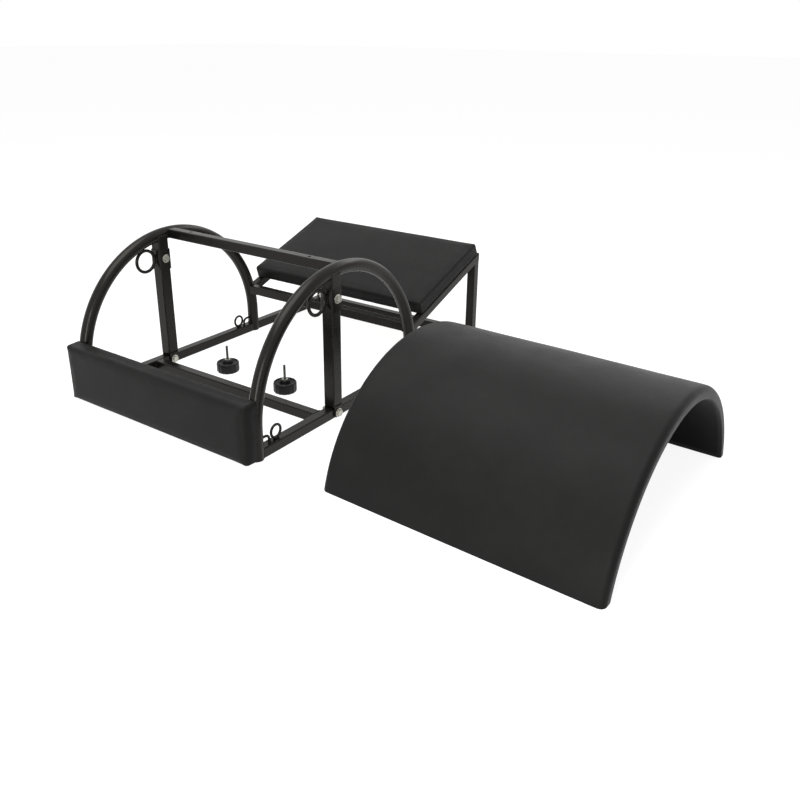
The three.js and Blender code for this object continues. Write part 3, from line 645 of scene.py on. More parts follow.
def make_hoop(name, x, count=40):
    """A bent round tube, open at both feet."""
    rings = []
    for radius, way in ((HOOP_TUBE / 2, 1), (HOOP_TUBE / 2 - HOOP_WALL, -1)):
        points = swept(hoop_line(x), radius, count).points
        rings += [points[i:i + count] for i in range(0, len(points), count)][::way]
    coated(loft(rings, close_along=True), f"bent_hoop_{name}", f"hoop_{name}")


def slope_place(s, lift, x=0.0):
    """A place s along the seat's slope and lift above the side bars' underside."""
    return (x, SEAT_BAR[0] + s * math.cos(SEAT_SLOPE) - lift * math.sin(SEAT_SLOPE),
            SEAT_Z + s * math.sin(SEAT_SLOPE) + lift * math.cos(SEAT_SLOPE))


def seat_slope_z(y):
    """Height of the side bars' underside."""
    return SEAT_Z + (y - SEAT_BAR[0]) * math.tan(SEAT_SLOPE)


def saddle(off):
    """How far a hoop's tube reaches out at that distance beside its centre line."""
    return math.sqrt(max((HOOP_TUBE / 2) ** 2 - off ** 2, 0.0))


def make_bars():
    leg = saddle(BAR / 2) - 0.4
    inner = RAIL_X - BAR / 2 + 0.6
    mid = BAR / 2
    for name, side in SIDES.items():
        x = side * RAIL_X
        coated(square_bar((x, -HOOP_R + leg, mid), (x, HOOP_R - leg, mid)), f"side_rail_{name}", f"rail_{name}")
        coated(square_bar((x, HOOP_R + leg, mid), (x, REAR_Y, mid)), f"side_rail_rear_{name}", f"rear_rail_{name}")
        upright_x = x - side * 0.03
        upright = square_bar((upright_x, LEG_Y, BAR + 0.2), (upright_x, LEG_Y, seat_slope_z(LEG_Y) + 3.5),
                             end_cut=(0, -math.sin(SEAT_SLOPE), math.cos(SEAT_SLOPE)))
        coated(upright, f"rear_upright_{name}", f"seat_leg_{name}")
        half = SEAT_TUBE / 2
        run = (REAR_Y - SEAT_BAR[0] + half * math.sin(SEAT_SLOPE)) / math.cos(SEAT_SLOPE)
        bar = square_bar(slope_place(4.0, half, side * SEAT_TUBE_X), slope_place(run, half, side * SEAT_TUBE_X),
                         SEAT_TUBE, SEAT_TUBE, end_cut=(0, 1, 0))
        coated(bar, f"seat_rail_{name}", f"seat_side_bar_{name}")
    for name, node_name, (y, z), reach in (
            ("brace_tube_middle", "mid_cross_tube", (MID_TUBE_Y, mid), inner),
            ("brace_tube_rear", "rear_cross_tube", (LEG_Y, mid), inner),
            ("brace_tube_front", "front_cross_tube", FRONT_TUBE, RAIL_X - HOOP_TUBE / 2 + 0.8),
            ("seat_stop_bar", "seat_front_bar", SEAT_BAR, RAIL_X - leg)):
        coated(square_bar((-reach, y, z), (reach, y, z)), name, node_name)


def cut_with(obj, cutter, sharp=None):
    """Cuts one piece with another and leaves a plain mesh."""
    modifier = obj.modifiers.new("cut", "BOOLEAN")
    modifier.operation = "DIFFERENCE"
    modifier.solver = "EXACT"
    modifier.object = cutter
    bake(obj)
    bpy.data.objects.remove(cutter)
    if sharp is not None:
        smooth(obj.data, sharp)


def knob_drills(radius, low, high, to_place):
    """Two rods where the knobs' studs go."""
    drills = Shape()
    for side in SIDES.values():
        drills.join(solid_rod(radius, low, high, 32).moved(Matrix.Translation(to_place(side * KNOB_HOLE_X))))
    return drills.piece("drills", COAT)


def make_crossbar():
    """The top bar with its two knob holes, whose walls show in the holes."""
    reach = RAIL_X - HOOP_TUBE / 4
    bar = square_bar((-reach, 0, BAR_Z), (reach, 0, BAR_Z)).piece("top_bar", COAT)
    cut_with(bar, knob_drills(4.0, -30.0, 30.0, lambda x: (x, 0, BAR_Z)), 40.0)
    settle(bar, "frame", "crossbar", slot="black_powder_coat")


def make_post(name, x):
    """A square post whose side walls run down past the rail as two lugs."""
    outline, marks = rounded_square(POST, POST, 2.6)
    hollow, _ = rounded_square(POST - 2 * POST_WALL, POST - 2 * POST_WALL, 1.2)
    rings = []
    for ring, levels in ((outline, (LUG_TOP, LUG_TOP + 0.5, POST_TOP - 0.5, POST_TOP)),
                         (hollow, (POST_TOP, LUG_TOP))):
        rings += [[(x + u, POST_Y + v, z) for u, v in ring] for z in levels]
    shape = loft(rings, close_along=True, rub=marks)
    half, low, high, bend_radius = POST / 2 - 1.8, 2.0, LUG_TOP + 3.0, 5.0
    centre = low + bend_radius
    profile = [(-half, high), (half, high), (half, centre)]
    profile += [(half - bend_radius * (1 - math.cos(t)), centre - bend_radius * math.sin(t))
                for t in np.linspace(0.2, 1.57, 6)]
    profile += [(-half + bend_radius * (1 - math.sin(t)), centre - bend_radius * math.cos(t))
                for t in np.linspace(0.0, 1.4, 6)]
    profile += [(-half, centre)]
    for side in (-1, 1):
        shape.join(loft([[(x + side * reach, POST_Y + y, z) for y, z in profile]
                         for reach in (POST / 2 - POST_WALL, POST / 2)]))
    coated(shape, f"post_tube_{name}", f"post_{name}")


def make_bracket(name, x):
    """A folded plate round the post's top, its top plate and the short square stub up to the hoop."""
    half, (low, high), plate, fold = BRACKET_HALF, BRACKET, BRACKET_PLATE, 4.5
    back = POST / 2
    sheet = []
    for inset in (0.0, plate):
        line = [(-half + inset, back)]
        for cx, turn in ((-half + fold, 180.0), (half - fold, 270.0)):
            for i in range(7):
                angle = math.radians(turn + 90.0 * i / 6)
                line.append((cx + (fold - inset) * math.cos(angle),
                             -half + fold + (fold - inset) * math.sin(angle)))
        sheet.append(line + [(half - inset, back)])
    profile = sheet[0] + sheet[1][::-1]
    shape = loft([[(x + u, POST_Y + v, z) for u, v in profile] for z in (low, low + 0.6, high - 0.8, high)])
    middle = POST_Y - half + back / 2 + half / 2
    shape.join(square_bar((x, middle, high - plate - 0.4), (x, middle, high - 0.1),
                          2 * half - 0.8, half + back - 0.8, 3.0))
    shape.join(square_bar((x, POST_Y, high - 1.0), (x, POST_Y, HOOP_Z + HOOP_R - 5.0), POST, POST))
    coated(shape, f"post_clamp_{name}", f"post_bracket_{name}")


def standing_ring(x, y, z, sizes, count, sides):
    """A closed wire ring in the plane across X; sizes are its diameter and its wire's."""
    radius = sizes[0] / 2
    return swept([(x, y + radius * c, z + radius * k) for c, k in spots(count)], sizes[1] / 2, sides, closed=True)


def foot_ring_reach():
    """From a hoop's foot to the small ring behind the wire eyelet."""
    return EYELET[0] + EYELET[3] / 2 + AIR + sum(FOOT_RING) / 2


def make_rings():
    reach, level, fold, wire = EYELET
    for name, side in SIDES.items():
        x = side * RAIL_X
        ring_y = POST_Y - BRACKET_HALF - AIR - sum(RING) / 2
        coated(standing_ring(x, ring_y, BOLT_Z[1], RING, 72, 20), f"spring_ring_{name}", f"top_ring_{name}")
        for end, way in (("front", 1), ("rear", -1)):
            foot = -way * HOOP_R
            ring = standing_ring(x, foot + way * foot_ring_reach(), BAR + AIR + sum(FOOT_RING) / 2, FOOT_RING, 56, 16)
            coated(ring, f"wire_ring_{end}_{name}", f"foot_ring_{end}_{name}")
            line = [(HOOP_TUBE / 2 - 1.0, level), (HOOP_TUBE / 2 + 3.5, level)]
            line += [((reach - fold) * (1 - t) ** 2 + reach * (2 * t * (1 - t) + t ** 2),
                      level * ((1 - t) ** 2 + 2 * t * (1 - t)) + (level - fold) * t ** 2)
                     for t in np.linspace(0.0, 1.0, 13)]
            line.append((reach, BAR - 1.0))
            coated(swept([(x, foot + way * y, z) for y, z in line], wire / 2, 16), f"wire_eyelet_{end}_{name}",
                   f"eyelet_{end}_{name}")


def weld_lines():
    """Where the steel pieces meet: each line is (points, closed)."""
    lines = []
    square, slim, stub = (rounded_square(w, w, CORNER)[0] for w in (BAR + 0.6, SEAT_TUBE + 0.6, POST + 0.4))

    def against_leg(x, leg_y, way, height):
        """Round a rail's end on a hoop's leg; the bead crosses below inside the joint, where only the floor is."""
        points = [(x + u, leg_y + way * saddle(u), height + v) for u, v in square if v > -BAR / 2 + 1.5]
        start = min(range(len(points)), key=lambda i: (points[i][2] > height - 7, -points[i][0]))
        lines.append((points[start:] + points[:start], False))

    for side in SIDES.values():
        x = side * RAIL_X
        for leg_y, way in ((-HOOP_R, 1), (HOOP_R, -1), (HOOP_R, 1)):
            against_leg(x, leg_y, way, BAR / 2)
        face = side * (RAIL_X - BAR / 2)
        for y in (MID_TUBE_Y, LEG_Y):
            corners = ((-1, 1.0), (-1, BAR - 0.6), (1, BAR - 0.6), (1, 1.0))
            lines.append(([(face, y + way * BAR / 2, z) for way, z in corners], False))
        inward = [side * u < BAR / 2 - 1.0 for u, v in square]
        first = next(i for i in range(len(inward)) if inward[i] and not inward[i - 1])
        turn = (square[first:] + square[:first])[:sum(inward)]
        lines.append(([(x + u, LEG_Y + v, BAR + 0.1) for u, v in turn], False))
        lines.append(([(x + u, LEG_Y + v, seat_slope_z(LEG_Y + v)) for u, v in turn], False))
        lines.append(([(side * (RAIL_X - saddle(v)), u, BAR_Z + v) for u, v in square], True))
        lines.append(([(side * (RAIL_X - saddle(u)), SEAT_BAR[0] + u, SEAT_BAR[1] + v) for u, v in square], True))
        lines.append(([slope_place(8.0, SEAT_TUBE / 2 + v, side * SEAT_TUBE_X + u) for u, v in slim], True))
        lines.append(([(x + u, POST_Y + v, HOOP_Z + math.sqrt((HOOP_R - saddle(u)) ** 2 - (POST_Y + v) ** 2))
                       for u, v in stub], True))
        lines.append(([(x + u, POST_Y + v, BRACKET[1]) for u, v in stub], True))
        web = POST_Y - BRACKET_HALF
        for off in (-RING[1] / 2 + 0.4, RING[1] / 2 - 0.4):
            for reach in (-9.0, 9.0):
                lines.append(([(x + off, web - 1.6, BOLT_Z[1] + reach), (x + off, web - 0.4, BOLT_Z[1] + reach * 0.3),
                               (x + off, web - 0.4, BOLT_Z[1])], False))
        reach, level, _, wire = EYELET
        rim = wire / 2 + AIR
        for way in (1, -1):
            foot = -way * HOOP_R
            leg_y, base_y, base_z = foot + way * (HOOP_TUBE / 2 + 0.1), foot + way * reach, BAR + AIR
            turns = [(math.cos(a), math.sin(a)) for a in np.linspace(0, 2 * math.pi, 12)[:-1]]
            lines.append(([(x + rim * c, leg_y, level + rim * k) for c, k in turns], True))
            lines.append(([(x + rim * c, base_y + rim * k, base_z) for c, k in turns], True))
            ring_y = foot + way * foot_ring_reach()
            for off in (-FOOT_RING[1] / 2 + 0.2, FOOT_RING[1] / 2 - 0.2):
                lines.append(([(x + off, ring_y - 5.5, BAR + 1.3), (x + off, ring_y, BAR + 0.5),
                               (x + off, ring_y + 5.5, BAR + 1.3)], False))
    return lines


def make_welds():
    mesh = run_tree(weld_tree(), line_data("weld_paths", weld_lines()), "weld_beads",
                    Bead_radius=1.35 * MM, Ripple_length=1.6 * MM, Material=WELD)
    settle(link("weld_beads", mesh, WELD, None), "frame", slot="black_powder_coat")


# Fasteners

def flanged_hexagon(height, base, across=13.0, count=72):
    """A hex head on its round flange, with the corners chamfered on the outer face."""
    flat, corner, sixth, top = across / 2, across / 2 * 1.155, math.pi / 3, base + 0.9 + height

    def side(limit, angle):
        return min(limit, flat / math.cos((angle + sixth / 2) % sixth - sixth / 2))

    rim, rim_top = FLANGE / 2 - 0.1, base + 1.6
    disc = rounded_profile([(ON_AXIS, base), (rim, base), (rim, rim_top), (ON_AXIS, rim_top)], 0.5)
    head = [(across, base + 0.9), (across, top - 1.3), (corner * 0.97, top - 0.5), (corner * 0.90, top)]
    return turned(disc, 48).join(turned(head, count, side))


def thread_piece(tree, radius, pitch, length, matrix):
    """A core rod and its wound ridge, as one shape in millimetres."""
    core = radius - pitch * THREAD_DEPTH
    ridge = run_tree(tree, bpy.data.meshes.new("seed"), "thread", Rod_radius=core * MM, Pitch=pitch * MM,
                     Length=(length - 0.6) * MM, Material=ZINC)
    shape = Shape().add([tuple(v.co / MM) for v in ridge.vertices], [list(p.vertices) for p in ridge.polygons])
    shape.join(turned([(ON_AXIS, -1.0), (core, -1.0), (core, length - 0.8), (core - 0.8, length), (ON_AXIS, length)],
                      28))
    return shape.moved(matrix)


def make_bolts(threads):
    """Heads face +X; nuts and thread ends face -X."""
    for name, side in SIDES.items():
        for level, z, half in (("lower", BOLT_Z[0], POST / 2), ("upper", BOLT_Z[1], BRACKET_HALF)):
            place = Matrix.Translation((side * RAIL_X, POST_Y, z))
            right, left = (place @ Matrix.Rotation(math.radians(turn), 4, "Y") for turn in (90, -90))
            start = half + AIR
            head = flanged_hexagon(5.3, start).join(solid_rod(3.9, -start, start + 1.0, 32)).moved(right)
            tail = thread_piece(threads, 4.0, 1.25, 15.0, left @ Matrix.Translation((0, 0, start - 1.0)))
            for part, shape in (("bolt", head.join(tail)), ("nut", flanged_hexagon(6.0, start).moved(left))):
                settle(shape.piece(f"{level}_hex_{part}_{name}", ZINC, 35.0), "frame", f"{level}_{part}_{name}",
                       slot="zinc")


def pan_screw(name, node_name, matrix):
    """A pan head with a cross recess over a plain shank."""
    profile = [(ON_AXIS, -3.0), (3.2, -2.9), (4.9, -1.4), (4.9, 0.0), (ON_AXIS, 0.0)]
    head = turned(rounded_profile(profile, 0.7), 40)
    shank = turned([(ON_AXIS, -0.5), (2.3, -0.5), (2.3, 29.0), (ON_AXIS, 31.5)], 20)
    screw = head.join(shank).moved(matrix).piece(name, ZINC, 35.0)
    cross = Shape()
    for width, depth in ((4.6, 1.1), (1.1, 4.6)):
        cross.join(square_bar((0, 0, -4.0), (0, 0, -1.6), width, depth, 0.3))
    cut_with(screw, cross.moved(matrix).piece("cross", ZINC), 35.0)
    settle(screw, "frame", node_name, slot="zinc")


def make_screws():
    head_y = FRONT_TUBE[0] + BAR / 2 + AIR
    for i, x in enumerate((-206.0, -76.2, 76.2, 206.0)):
        turn = Matrix.Translation((x, head_y, FRONT_TUBE[1])) @ Matrix.Rotation(math.radians(90), 4, "X")
        pan_screw(f"front_screw_{i + 1}", f"footboard_screw_{i + 1}", turn)
    leg = (REAR_Y - BAR - SEAT_BAR[0]) / math.cos(SEAT_SLOPE)
    spots_along = [(side, s) for side in (-1, 1) for s in (SEAT_PAD_START + 42.0, leg - 29.5)]
    for i, (side, s) in enumerate(spots_along):
        place = Matrix.Translation(slope_place(s, -AIR, side * SEAT_TUBE_X))
        pan_screw(f"under_seat_screw_{i + 1}", f"seat_screw_{i + 1}", place @ Matrix.Rotation(SEAT_SLOPE, 4, "X"))


# Padded pieces

def edge_lines(half, low, high, cell):
    """Grid lines across one side of a block: fine at the rounded edges, even between them."""
    cells = max(2, round((2 * half - low - high) / cell))
    middle = [-half + low + (2 * half - low - high) * i / cells for i in range(cells + 1)]
    bends = [math.tan(math.radians(a)) for a in (9, 18, 27, 36, 45)]
    return [-half + low - b * low for b in reversed(bends)] + middle + [half - high + b * high for b in bends]


def padded_block(size, rounding, cell):
    """A closed quad block centred on the origin; rounding is at the X ends, -Y, +Y, below and above."""
    half = [s / 2 for s in size]
    low = (rounding[0], rounding[1], rounding[3])
    high = (rounding[0], rounding[2], rounding[4])
    lines = [edge_lines(h, a, b, cell) for h, a, b in zip(half, low, high)]
    points, faces, index = [], [], {}

    def place(p):
        inner, out, reach = [], [], []
        for v, h, a, b in zip(p, half, low, high):
            inner.append(max(a - h, min(h - b, v)))
            reach.append(a if v < inner[-1] else b)
            out.append((v - inner[-1]) / reach[-1])
        out = Vector(out)
        if out.length > 1e-9:
            out.normalize()
        q = [i + o * r for i, o, r in zip(inner, out, reach)]
        key = tuple(round(v, 4) for v in q)
        if key not in index:
            index[key] = len(points)
            points.append(tuple(q))
        return index[key]

    for axis in range(3):
        u, v = (axis + 1) % 3, (axis + 2) % 3
        for sign in (-1, 1):
            grid = []
            for a in lines[u]:
                row = []
                for b in lines[v]:
                    p = [0.0, 0.0, 0.0]
                    p[axis], p[u], p[v] = sign * half[axis], a, b
                    row.append(place(p))
                grid.append(row)
            for i in range(len(grid) - 1):
                for j in range(len(grid[0]) - 1):
                    face = [grid[i][j], grid[i + 1][j], grid[i + 1][j + 1], grid[i][j + 1]]
                    if len(set(face)) > 2:
                        face = list(dict.fromkeys(face))
                        faces.append(face if sign > 0 else face[::-1])
    return np.array(points), faces


def read_points(data):
    """A mesh's points in millimetres from the ground point under the hoops' centre."""
    flat = np.zeros(len(data.vertices) * 3)
    data.vertices.foreach_get("co", flat)
    return (flat.reshape(-1, 3) - np.array(HOME)) / MM


def write_points(data, points):
    data.vertices.foreach_set("co", (points * MM + np.array(HOME)).ravel())
    data.update()


class Place:
    """Where a pad lies: its centre and its own axes, from the ground point under the hoops' centre."""

    def __init__(self, centre, x_axis, y_axis, z_axis):
        self.centre, self.axes = np.array(centre), np.array([x_axis, y_axis, z_axis])

    def out(self, points):
        return points @ self.axes + self.centre

    def back(self, points):
        return (points - self.centre) @ self.axes.T


def inflate(obj, pinned, pressure, cap, frames=14):
    """Blows the cover up with cloth while the pinned points stay; cap is the most that a point moves."""
    held = obj.vertex_groups.new(name="held")
    held.add([int(i) for i in np.nonzero(pinned)[0]], 1.0, "REPLACE")
    cloth = obj.modifiers.new("cover", "CLOTH")
    settings = cloth.settings
    settings.quality = 5
    settings.mass = 0.35
    settings.tension_stiffness = settings.compression_stiffness = 30.0
    settings.shear_stiffness = 12.0
    settings.bending_stiffness = 3.0
    settings.use_pressure = True
    settings.uniform_pressure_force = pressure
    settings.vertex_group_mass = "held"
    settings.effector_weights.gravity = 0.0
    cloth.collision_settings.use_collision = False
    cloth.point_cache.frame_start, cloth.point_cache.frame_end = 1, frames
    for number in range(1, frames + 1):
        bpy.context.scene.frame_set(number)
    before = read_points(obj.data)
    step = read_points(obj.evaluated_get(bpy.context.evaluated_depsgraph_get()).data) - before
    obj.modifiers.remove(cloth)
    bpy.context.scene.frame_set(1)
    length = np.maximum(np.linalg.norm(step, axis=1, keepdims=True), 1e-6)
    write_points(obj.data, before + step / length * cap * np.tanh(length / cap))


def refine(obj):
    """One subdivision, applied."""
    modifier = obj.modifiers.new("finer", "SUBSURF")
    modifier.levels = modifier.render_levels = 1
    bake(obj)
    smooth(obj.data, None)


def ripple(points, length, seed):
    """Smooth waves of about that length, from -1 to 1, the same each run."""
    rng = np.random.default_rng(seed)
    total = np.zeros(len(points))
    for _ in range(7):
        direction = rng.normal(size=3)
        direction /= np.linalg.norm(direction)
        total += np.sin(points @ direction * (2 * math.pi / length) * rng.uniform(0.7, 1.4) + rng.uniform(0, 6.28))
    return total / 7


def smooth_step(value, low, high):
    t = np.clip((value - low) / (high - low), 0, 1)
    return t * t * (3 - 2 * t)


def hem_profile(points, size, hem, depth, pucker, seed):
    """Local block points with the underside stepped up inside the folded hem and faint pulls round it."""
    half = np.array(size) / 2
    edge = np.minimum(half[0] - np.abs(points[:, 0]), half[1] - np.abs(points[:, 1]))
    low = smooth_step(-points[:, 2], half[2] - 1.5, half[2] - 0.2)
    points[:, 2] += depth * low * smooth_step(edge, hem - 1.5, hem + 1.5)
    side = smooth_step(-points[:, 2], -half[2] * 0.6, half[2]) * (1 - smooth_step(edge, 2.0, 9.0))
    pull = ripple(points, 26.0, seed) * pucker * side
    middle = np.column_stack([points[:, 0] / half[0], points[:, 1] / half[1], np.zeros(len(points))])
    points += middle * pull[:, None]
    return points


def draw_in(points, size, amount, crown):
    """Sides pulled in between the corners and a low crown on the padded face."""
    half = np.array(size) / 2
    across, along = 1 - (points[:, 0] / half[0]) ** 2, 1 - (points[:, 1] / half[1]) ** 2
    up = (points[:, 2] + half[2]) / size[2]
    result = points.copy()
    result[:, 0] -= points[:, 0] / half[0] * amount * along
    result[:, 1] -= points[:, 1] / half[1] * amount * across
    result[:, 2] += crown * across * along * up
    return result


def hoop_groove(x, extra):
    line = hoop_line(x, lift=-6.0, steps=48)
    return swept(line, HOOP_TUBE / 2 + extra, 32)


def make_flat_pad(name, size, rounding, crown, place, seed, cell=6.0):
    """A cover over foam and board: crisp sides, a low crown and a folded hem below."""
    points, faces = padded_block((size[0] - 1.4, size[1] - 1.4, size[2] - 1.0), rounding, cell)
    points[:, 2] -= 0.5
    obj = Shape().add(place.out(draw_in(points, size, 0.5, crown * 0.5)), faces).piece(name, VINYL, None)
    here = place.back(read_points(obj.data))
    inflate(obj, here[:, 2] < -size[2] / 2 + 4.5, 5.0, 1.5)
    refine(obj)
    points = hem_profile(place.back(read_points(obj.data)), size, 26.0, 0.9, 0.3, seed)
    points[:, 2] += ripple(points, 120.0, seed + 1) * 0.35 * smooth_step(points[:, 2], 0, size[2] / 2)
    write_points(obj.data, place.out(points))
    return obj


def make_board(name, size, thickness, place, inset=6.0, lift=0.55):
    """The board that shows inside the folded hem."""
    points, faces = padded_block((size[0] - 2 * inset, size[1] - 2 * inset, thickness), (0.8,) * 5, 60.0)
    points[:, 2] += lift + (thickness - size[2]) / 2
    return Shape().add(place.out(points), faces).piece(name, PLYWOOD, 40.0)


def hem_staples(name, size, place, seed, inset=17.0):
    """Staples along the folded hem on a pad's underside."""
    x, y, z = size[0] / 2 - inset, size[1] / 2 - inset, -size[2] / 2 - 0.12
    points = [tuple(p) for p in place.out(np.array([(-x, -y, z), (x, -y, z), (x, y, z), (-x, y, z)]))]
    staples = run_tree(staple_tree(), line_data("staple_line", [(points, True)]), "staples", Spacing=34.0 * MM,
                       Crown=9.0 * MM, Wire=0.8 * MM, Seed=seed, Material=ZINC)
    settle(link(name, staples, ZINC, 30.0), "frame", slot="zinc")


def make_seat():
    slope = (math.cos(SEAT_SLOPE), math.sin(SEAT_SLOPE))
    place = Place(slope_place(SEAT_PAD_START + SEAT_PAD[1] / 2, SEAT_TUBE + 0.35 + SEAT_PAD[2] / 2), (1, 0, 0),
                  (0, *slope), (0, -slope[1], slope[0]))
    pad = make_flat_pad("seat_cushion", SEAT_PAD, (5.0, 6.0, 5.0, 4.0, 9.0), 2.0, place, 11)
    settle(pad, "frame", "seat_pad", slot="black_vinyl")
    settle(make_board("seat_plywood", SEAT_PAD, 12.0, place), "frame", "seat_board", slot="plywood")
    hem_staples("seat_staples", SEAT_PAD, place, 3)


def make_footboard():
    """It stands upright, with the padded face to the front."""
    place = Place((0, FOOTBOARD_REAR - FOOTBOARD[2] / 2, FOOTBOARD_LOW + FOOTBOARD[1] / 2), (1, 0, 0), (0, 0, 1),
                  (0, -1, 0))
    pad = make_flat_pad("footboard_cushion", FOOTBOARD, (7.5, 3.0, 7.0, 4.0, 8.0), 1.2, place, 23)
    board = make_board("footboard_plywood", FOOTBOARD, 18.0, place)
    for side in SIDES.values():
        for obj in (pad, board):
            cut_with(obj, hoop_groove(side * RAIL_X, 0.5).piece("groove", VINYL))
    smooth(pad.data, 50.0)
    smooth(board.data, 40.0)
    settle(pad, "frame", "footboard_pad", slot="black_vinyl")
    settle(board, "frame", "footboard_board", slot="plywood")
    hem_staples("footboard_staples", FOOTBOARD, place, 5)


# Barrel pad

def barrel_place():
    """The barrel pad's own axes, from the middle of its arch's axis."""
    c, w = math.cos(BARREL_TURN), math.sin(BARREL_TURN)
    half = BARREL_LENGTH / 2
    return Place((BARREL_PLACE[0] + half * c, BARREL_PLACE[1] + half * w, -BARREL_DROP), (c, w, 0), (-w, c, 0),
                 (0, 0, 1))


def bend(points, place, mid, arc):
    """Straight block points (x, along the arc, radial) round the arch, flat on the floor at both edges."""
    radius = points[:, 2] + mid
    angle = points[:, 1] / arc * np.arccos(BARREL_DROP / radius)
    return place.out(np.column_stack([points[:, 0], radius * np.sin(angle), radius * np.cos(angle)]))


def dress_barrel(data, place):
    """The folded hem inside, faint pulls round the edges and slack over the outer face."""
    world = read_points(data)
    x, y, z = place.back(world).T
    radius, angle = np.hypot(y, z), np.arctan2(y, z)
    run = (np.arccos(np.clip(BARREL_DROP / radius, -1, 1)) - np.abs(angle)) * radius
    rim = np.minimum(BARREL_LENGTH / 2 - np.abs(x), run)
    inner = 1 - smooth_step(radius, BARREL_IN + 0.4, BARREL_IN + 2.2)
    outer = smooth_step(radius, BARREL_IN + 10, BARREL_OUT - 2)
    grow = 1.0 * inner * smooth_step(rim, 8.0, 10.0)
    grow += ripple(world, 34.0, 7) * 0.3 * inner * (1 - smooth_step(rim, 5.0, 9.0))
    grow += ripple(world, 130.0, 31) * 0.45 * outer * smooth_step(rim, 0.0, 25.0)
    grow -= ripple(world, 30.0, 47) * 0.25 * outer * (1 - smooth_step(rim, 4.0, 16.0))
    radius = radius + grow
    world = place.out(np.column_stack([x, radius * np.sin(angle), radius * np.cos(angle)]))
    world[:, 2] = np.maximum(world[:, 2], 0.0)
    write_points(data, world)


def make_barrel():
    mid = (BARREL_IN + BARREL_OUT) / 2
    arc = mid * math.acos(BARREL_DROP / mid)
    thick = BARREL_OUT - BARREL_IN
    tuck = 3.0
    place = barrel_place()

    local, faces = padded_block((BARREL_LENGTH - 1.2, 2 * (arc + tuck), thick - 0.8), (12.0, 5.0, 5.0, 4.0, 11.5), 7.3)
    local[:, 2] -= 0.4
    local[:, 2] += 0.6 * (1 - (local[:, 0] / (BARREL_LENGTH / 2)) ** 2) * smooth_step(local[:, 2], -2, thick / 2)
    pad = Shape().add(bend(local, place, mid, arc), faces).piece("barrel_cushion", VINYL, None)
    held = (local[:, 2] < -thick / 2 + 9.0) | (np.abs(local[:, 1]) > arc - 4.0)
    inflate(pad, held, 6.0, 1.4)
    refine(pad)
    dress_barrel(pad.data, place)
    settle(pad, "barrel", "barrel_pad", slot="black_vinyl")

    for name, node_name, low, high, inset, material, slot in (
            ("barrel_bent_board", "barrel_board", BARREL_IN + 1.3, BARREL_IN + 9.0, 5.0, PLYWOOD, "plywood"),
            ("barrel_inner_cloth", "barrel_lining", BARREL_IN + 0.45, BARREL_IN + 1.2, 7.0, LINING, "lining")):
        r = (low + high) / 2
        reach = r * math.acos(BARREL_DROP / r)
        plate, plate_faces = padded_block((BARREL_LENGTH - 2 * inset, 2 * (reach - inset), high - low), (0.3,) * 5,
                                          16.0)
        obj = Shape().add(bend(plate, place, r, reach), plate_faces).piece(name, material, 40.0)
        cut_with(obj, knob_drills(5.05, 150.0, 230.0, lambda x: place.out(np.array([x, 0, BARREL_DROP]))), 40.0)
        settle(obj, "barrel", node_name, slot=slot)
    for side in SIDES:
        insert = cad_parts[f"threaded_insert_{side}"]
        insert.data.materials.clear()
        insert.data.materials.append(ZINC)


# Hand knobs

def scallop(r, angle, lobes=14):
    """Dips the knob's wall in between its grips."""
    return r - 0.8 * smooth_step(r, 23.0, 26.0) * (0.5 - 0.5 * math.cos(lobes * angle)) ** 2


def make_knobs(threads):
    """Scalloped heads on the floor with their studs up, collars and washers."""
    drum = [(ON_AXIS, 0.0), (25.0, 0.0), (27.0, 3.0), (27.0, 21.6), (25.4, 24.0), (23.2, 24.0), (21.8, 20.0)]
    hub = [(13.6, 19.0), (12.2, 21.0), (11.2, 29.2), (8.6, 29.2), (8.1, 26.4), (3.3, 26.4), (3.3, 12.0),
           (ON_AXIS, 12.0)]
    neck = [(ON_AXIS, 26.7), (7.5, 26.7), (7.5, 29.3), (3.2, 29.3), (ON_AXIS, 29.3)]
    washer = [(3.4, 29.6), (7.2, 29.6), (7.2, 31.2), (3.4, 31.2), (3.4, 29.6)]
    for name, (x, y) in KNOB_PLACES.items():
        place = Matrix.Translation((x, y, 0.0))
        head = turned(rounded_profile(drum + hub, 1.2, 4), 144, scallop).moved(place)
        settle(head.piece(f"knob_head_{name}", PLASTIC, 50.0), f"knob_{name}", f"knob_{name}", slot="black_plastic")
        stud = turned(rounded_profile(neck, 0.4), 48).join(solid_rod(2.9, 12.2, 26.9, 28)).moved(place)
        stud.join(thread_piece(threads, 3.0, 1.0, 35.6, place @ Matrix.Translation((0, 0, 29.4))))
        settle(stud.piece(f"knob_screw_{name}", STUD, 40.0), f"knob_{name}", f"knob_stud_{name}", slot="zinc")
        rings = [[(r * c, r * w, z) for c, w in spots(48)] for r, z in rounded_profile(washer, 0.35)]
        disc = loft(rings, close_along=True).moved(place)
        settle(disc.piece(f"knob_disc_{name}", ZINC, 40.0), f"knob_washer_{name}", f"knob_washer_{name}", slot="zinc")


# Floor, light and camera

def background_ray(tree):
    """1 where a camera, glossy or transmission ray arrives, 0 elsewhere."""
    path = tree.nodes.new("ShaderNodeLightPath").outputs
    sharp = math_node(tree, "ADD", path["Is Camera Ray"], path["Is Glossy Ray"])
    return math_node(tree, "ADD", sharp, path["Is Transmission Ray"], clamp=True)


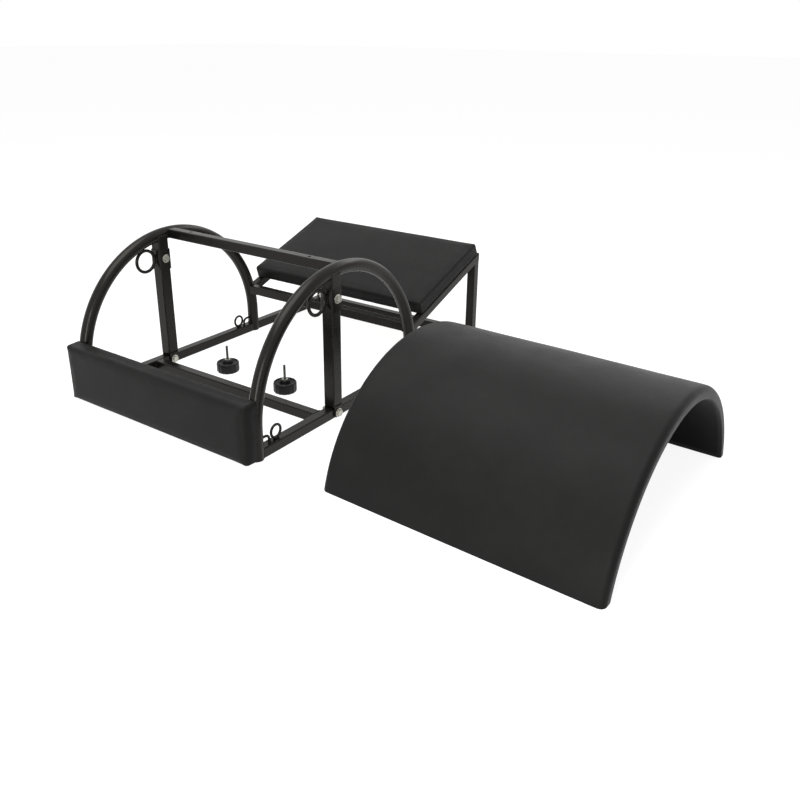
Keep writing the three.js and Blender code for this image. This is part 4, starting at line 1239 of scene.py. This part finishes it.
def make_stage(reach=30.0, glow=0.91):
    data = bpy.data.meshes.new("floor")
    data.from_pydata([(-reach, -reach, 0), (reach, -reach, 0), (reach, reach, 0), (-reach, reach, 0)], [],
                     [(0, 1, 2, 3)])
    material = bpy.data.materials.new("pale_floor")
    material.use_nodes = True
    tree = material.node_tree
    tree.nodes.clear()
    lit = node(tree, "ShaderNodeBsdfDiffuse", Color=(0.35, 0.35, 0.35, 1.0))
    seen = node(tree, "ShaderNodeEmission", Strength=math_node(tree, "MULTIPLY", background_ray(tree), glow))
    both = tree.nodes.new("ShaderNodeAddShader")
    feed(tree, both.inputs[0], lit.outputs[0])
    feed(tree, both.inputs[1], seen.outputs[0])
    node(tree, "ShaderNodeOutputMaterial", Surface=both.outputs[0])
    data.materials.append(material)
    in_scene("floor", data)


def make_world(ambient=0.2):
    world = bpy.data.worlds.new("studio")
    bpy.context.scene.world = world
    world.use_nodes = True
    tree = world.node_tree
    background = tree.nodes["Background"].inputs
    background["Color"].default_value = (1.0, 1.0, 1.0, 1.0)
    rest = math_node(tree, "MULTIPLY", background_ray(tree), 1.0 - ambient)
    feed(tree, background["Strength"], math_node(tree, "ADD", rest, ambient))


def make_lamp(name, place, target, size, power):
    light = bpy.data.lights.new(name, "AREA")
    light.shape = "RECTANGLE"
    light.size, light.size_y = size
    light.energy = power
    obj = in_scene(name, light)
    obj.location = place
    obj.rotation_mode = "QUATERNION"
    obj.rotation_quaternion = (Vector(target) - Vector(place)).to_track_quat("-Z", "Y")


def make_camera():
    """The photograph's camera, from a fit to its edges in an 800 by 800 frame."""
    width = 800.0
    focal_pixels = 811.87
    centre = (398.35, 344.00)
    yaw, pitch, roll = (math.radians(v) for v in (-34.376, 21.259, -0.631))
    place = HOME + Vector((1268.3, -1256.8, 783.2)) * MM
    ahead = Vector((math.sin(yaw) * math.cos(pitch), math.cos(yaw) * math.cos(pitch), -math.sin(pitch)))
    right = Vector((math.cos(yaw), -math.sin(yaw), 0.0))
    down = ahead.cross(right)
    x_axis = right * math.cos(roll) + down * math.sin(roll)
    y_axis = -(down * math.cos(roll) - right * math.sin(roll))
    data = bpy.data.cameras.new("camera")
    data.sensor_width = 36.0
    data.lens = focal_pixels / width * data.sensor_width
    data.shift_x = (width / 2 - centre[0]) / width
    data.shift_y = (centre[1] - width / 2) / width
    camera = in_scene("camera", data)
    camera.matrix_world = Matrix.Translation(place) @ Matrix((x_axis, y_axis, -ahead)).transposed().to_4x4()
    bpy.context.scene.camera = camera


def main():
    for name, side in SIDES.items():
        make_hoop(name, side * RAIL_X)
        make_post(name, side * RAIL_X)
        make_bracket(name, side * RAIL_X)
    make_bars()
    make_crossbar()
    make_rings()
    make_welds()
    threads = thread_tree()
    make_bolts(threads)
    make_screws()
    make_seat()
    make_footboard()
    make_barrel()
    make_knobs(threads)
    make_stage()
    make_world()
    for lamp in (("overhead", (-0.1, -0.65, 2.4), (0.05, -0.1, 0.0), (2.3, 1.8), 54.0),
                 ("window", (-1.25, -2.15, 0.95), (-0.2, -0.1, 0.1), (0.8, 1.4), 1.5),
                 ("strip", (0.63, -2.3, 0.6), (-0.1, -0.1, 0.15), (0.42, 1.2), 23.0),
                 ("back", (0.1, 2.3, 1.9), (0.0, 0.1, 0.1), (2.2, 0.7), 14.0)):
        make_lamp(*lamp)
    make_camera()
    bpy.context.scene.view_settings.view_transform = "Standard"


main()
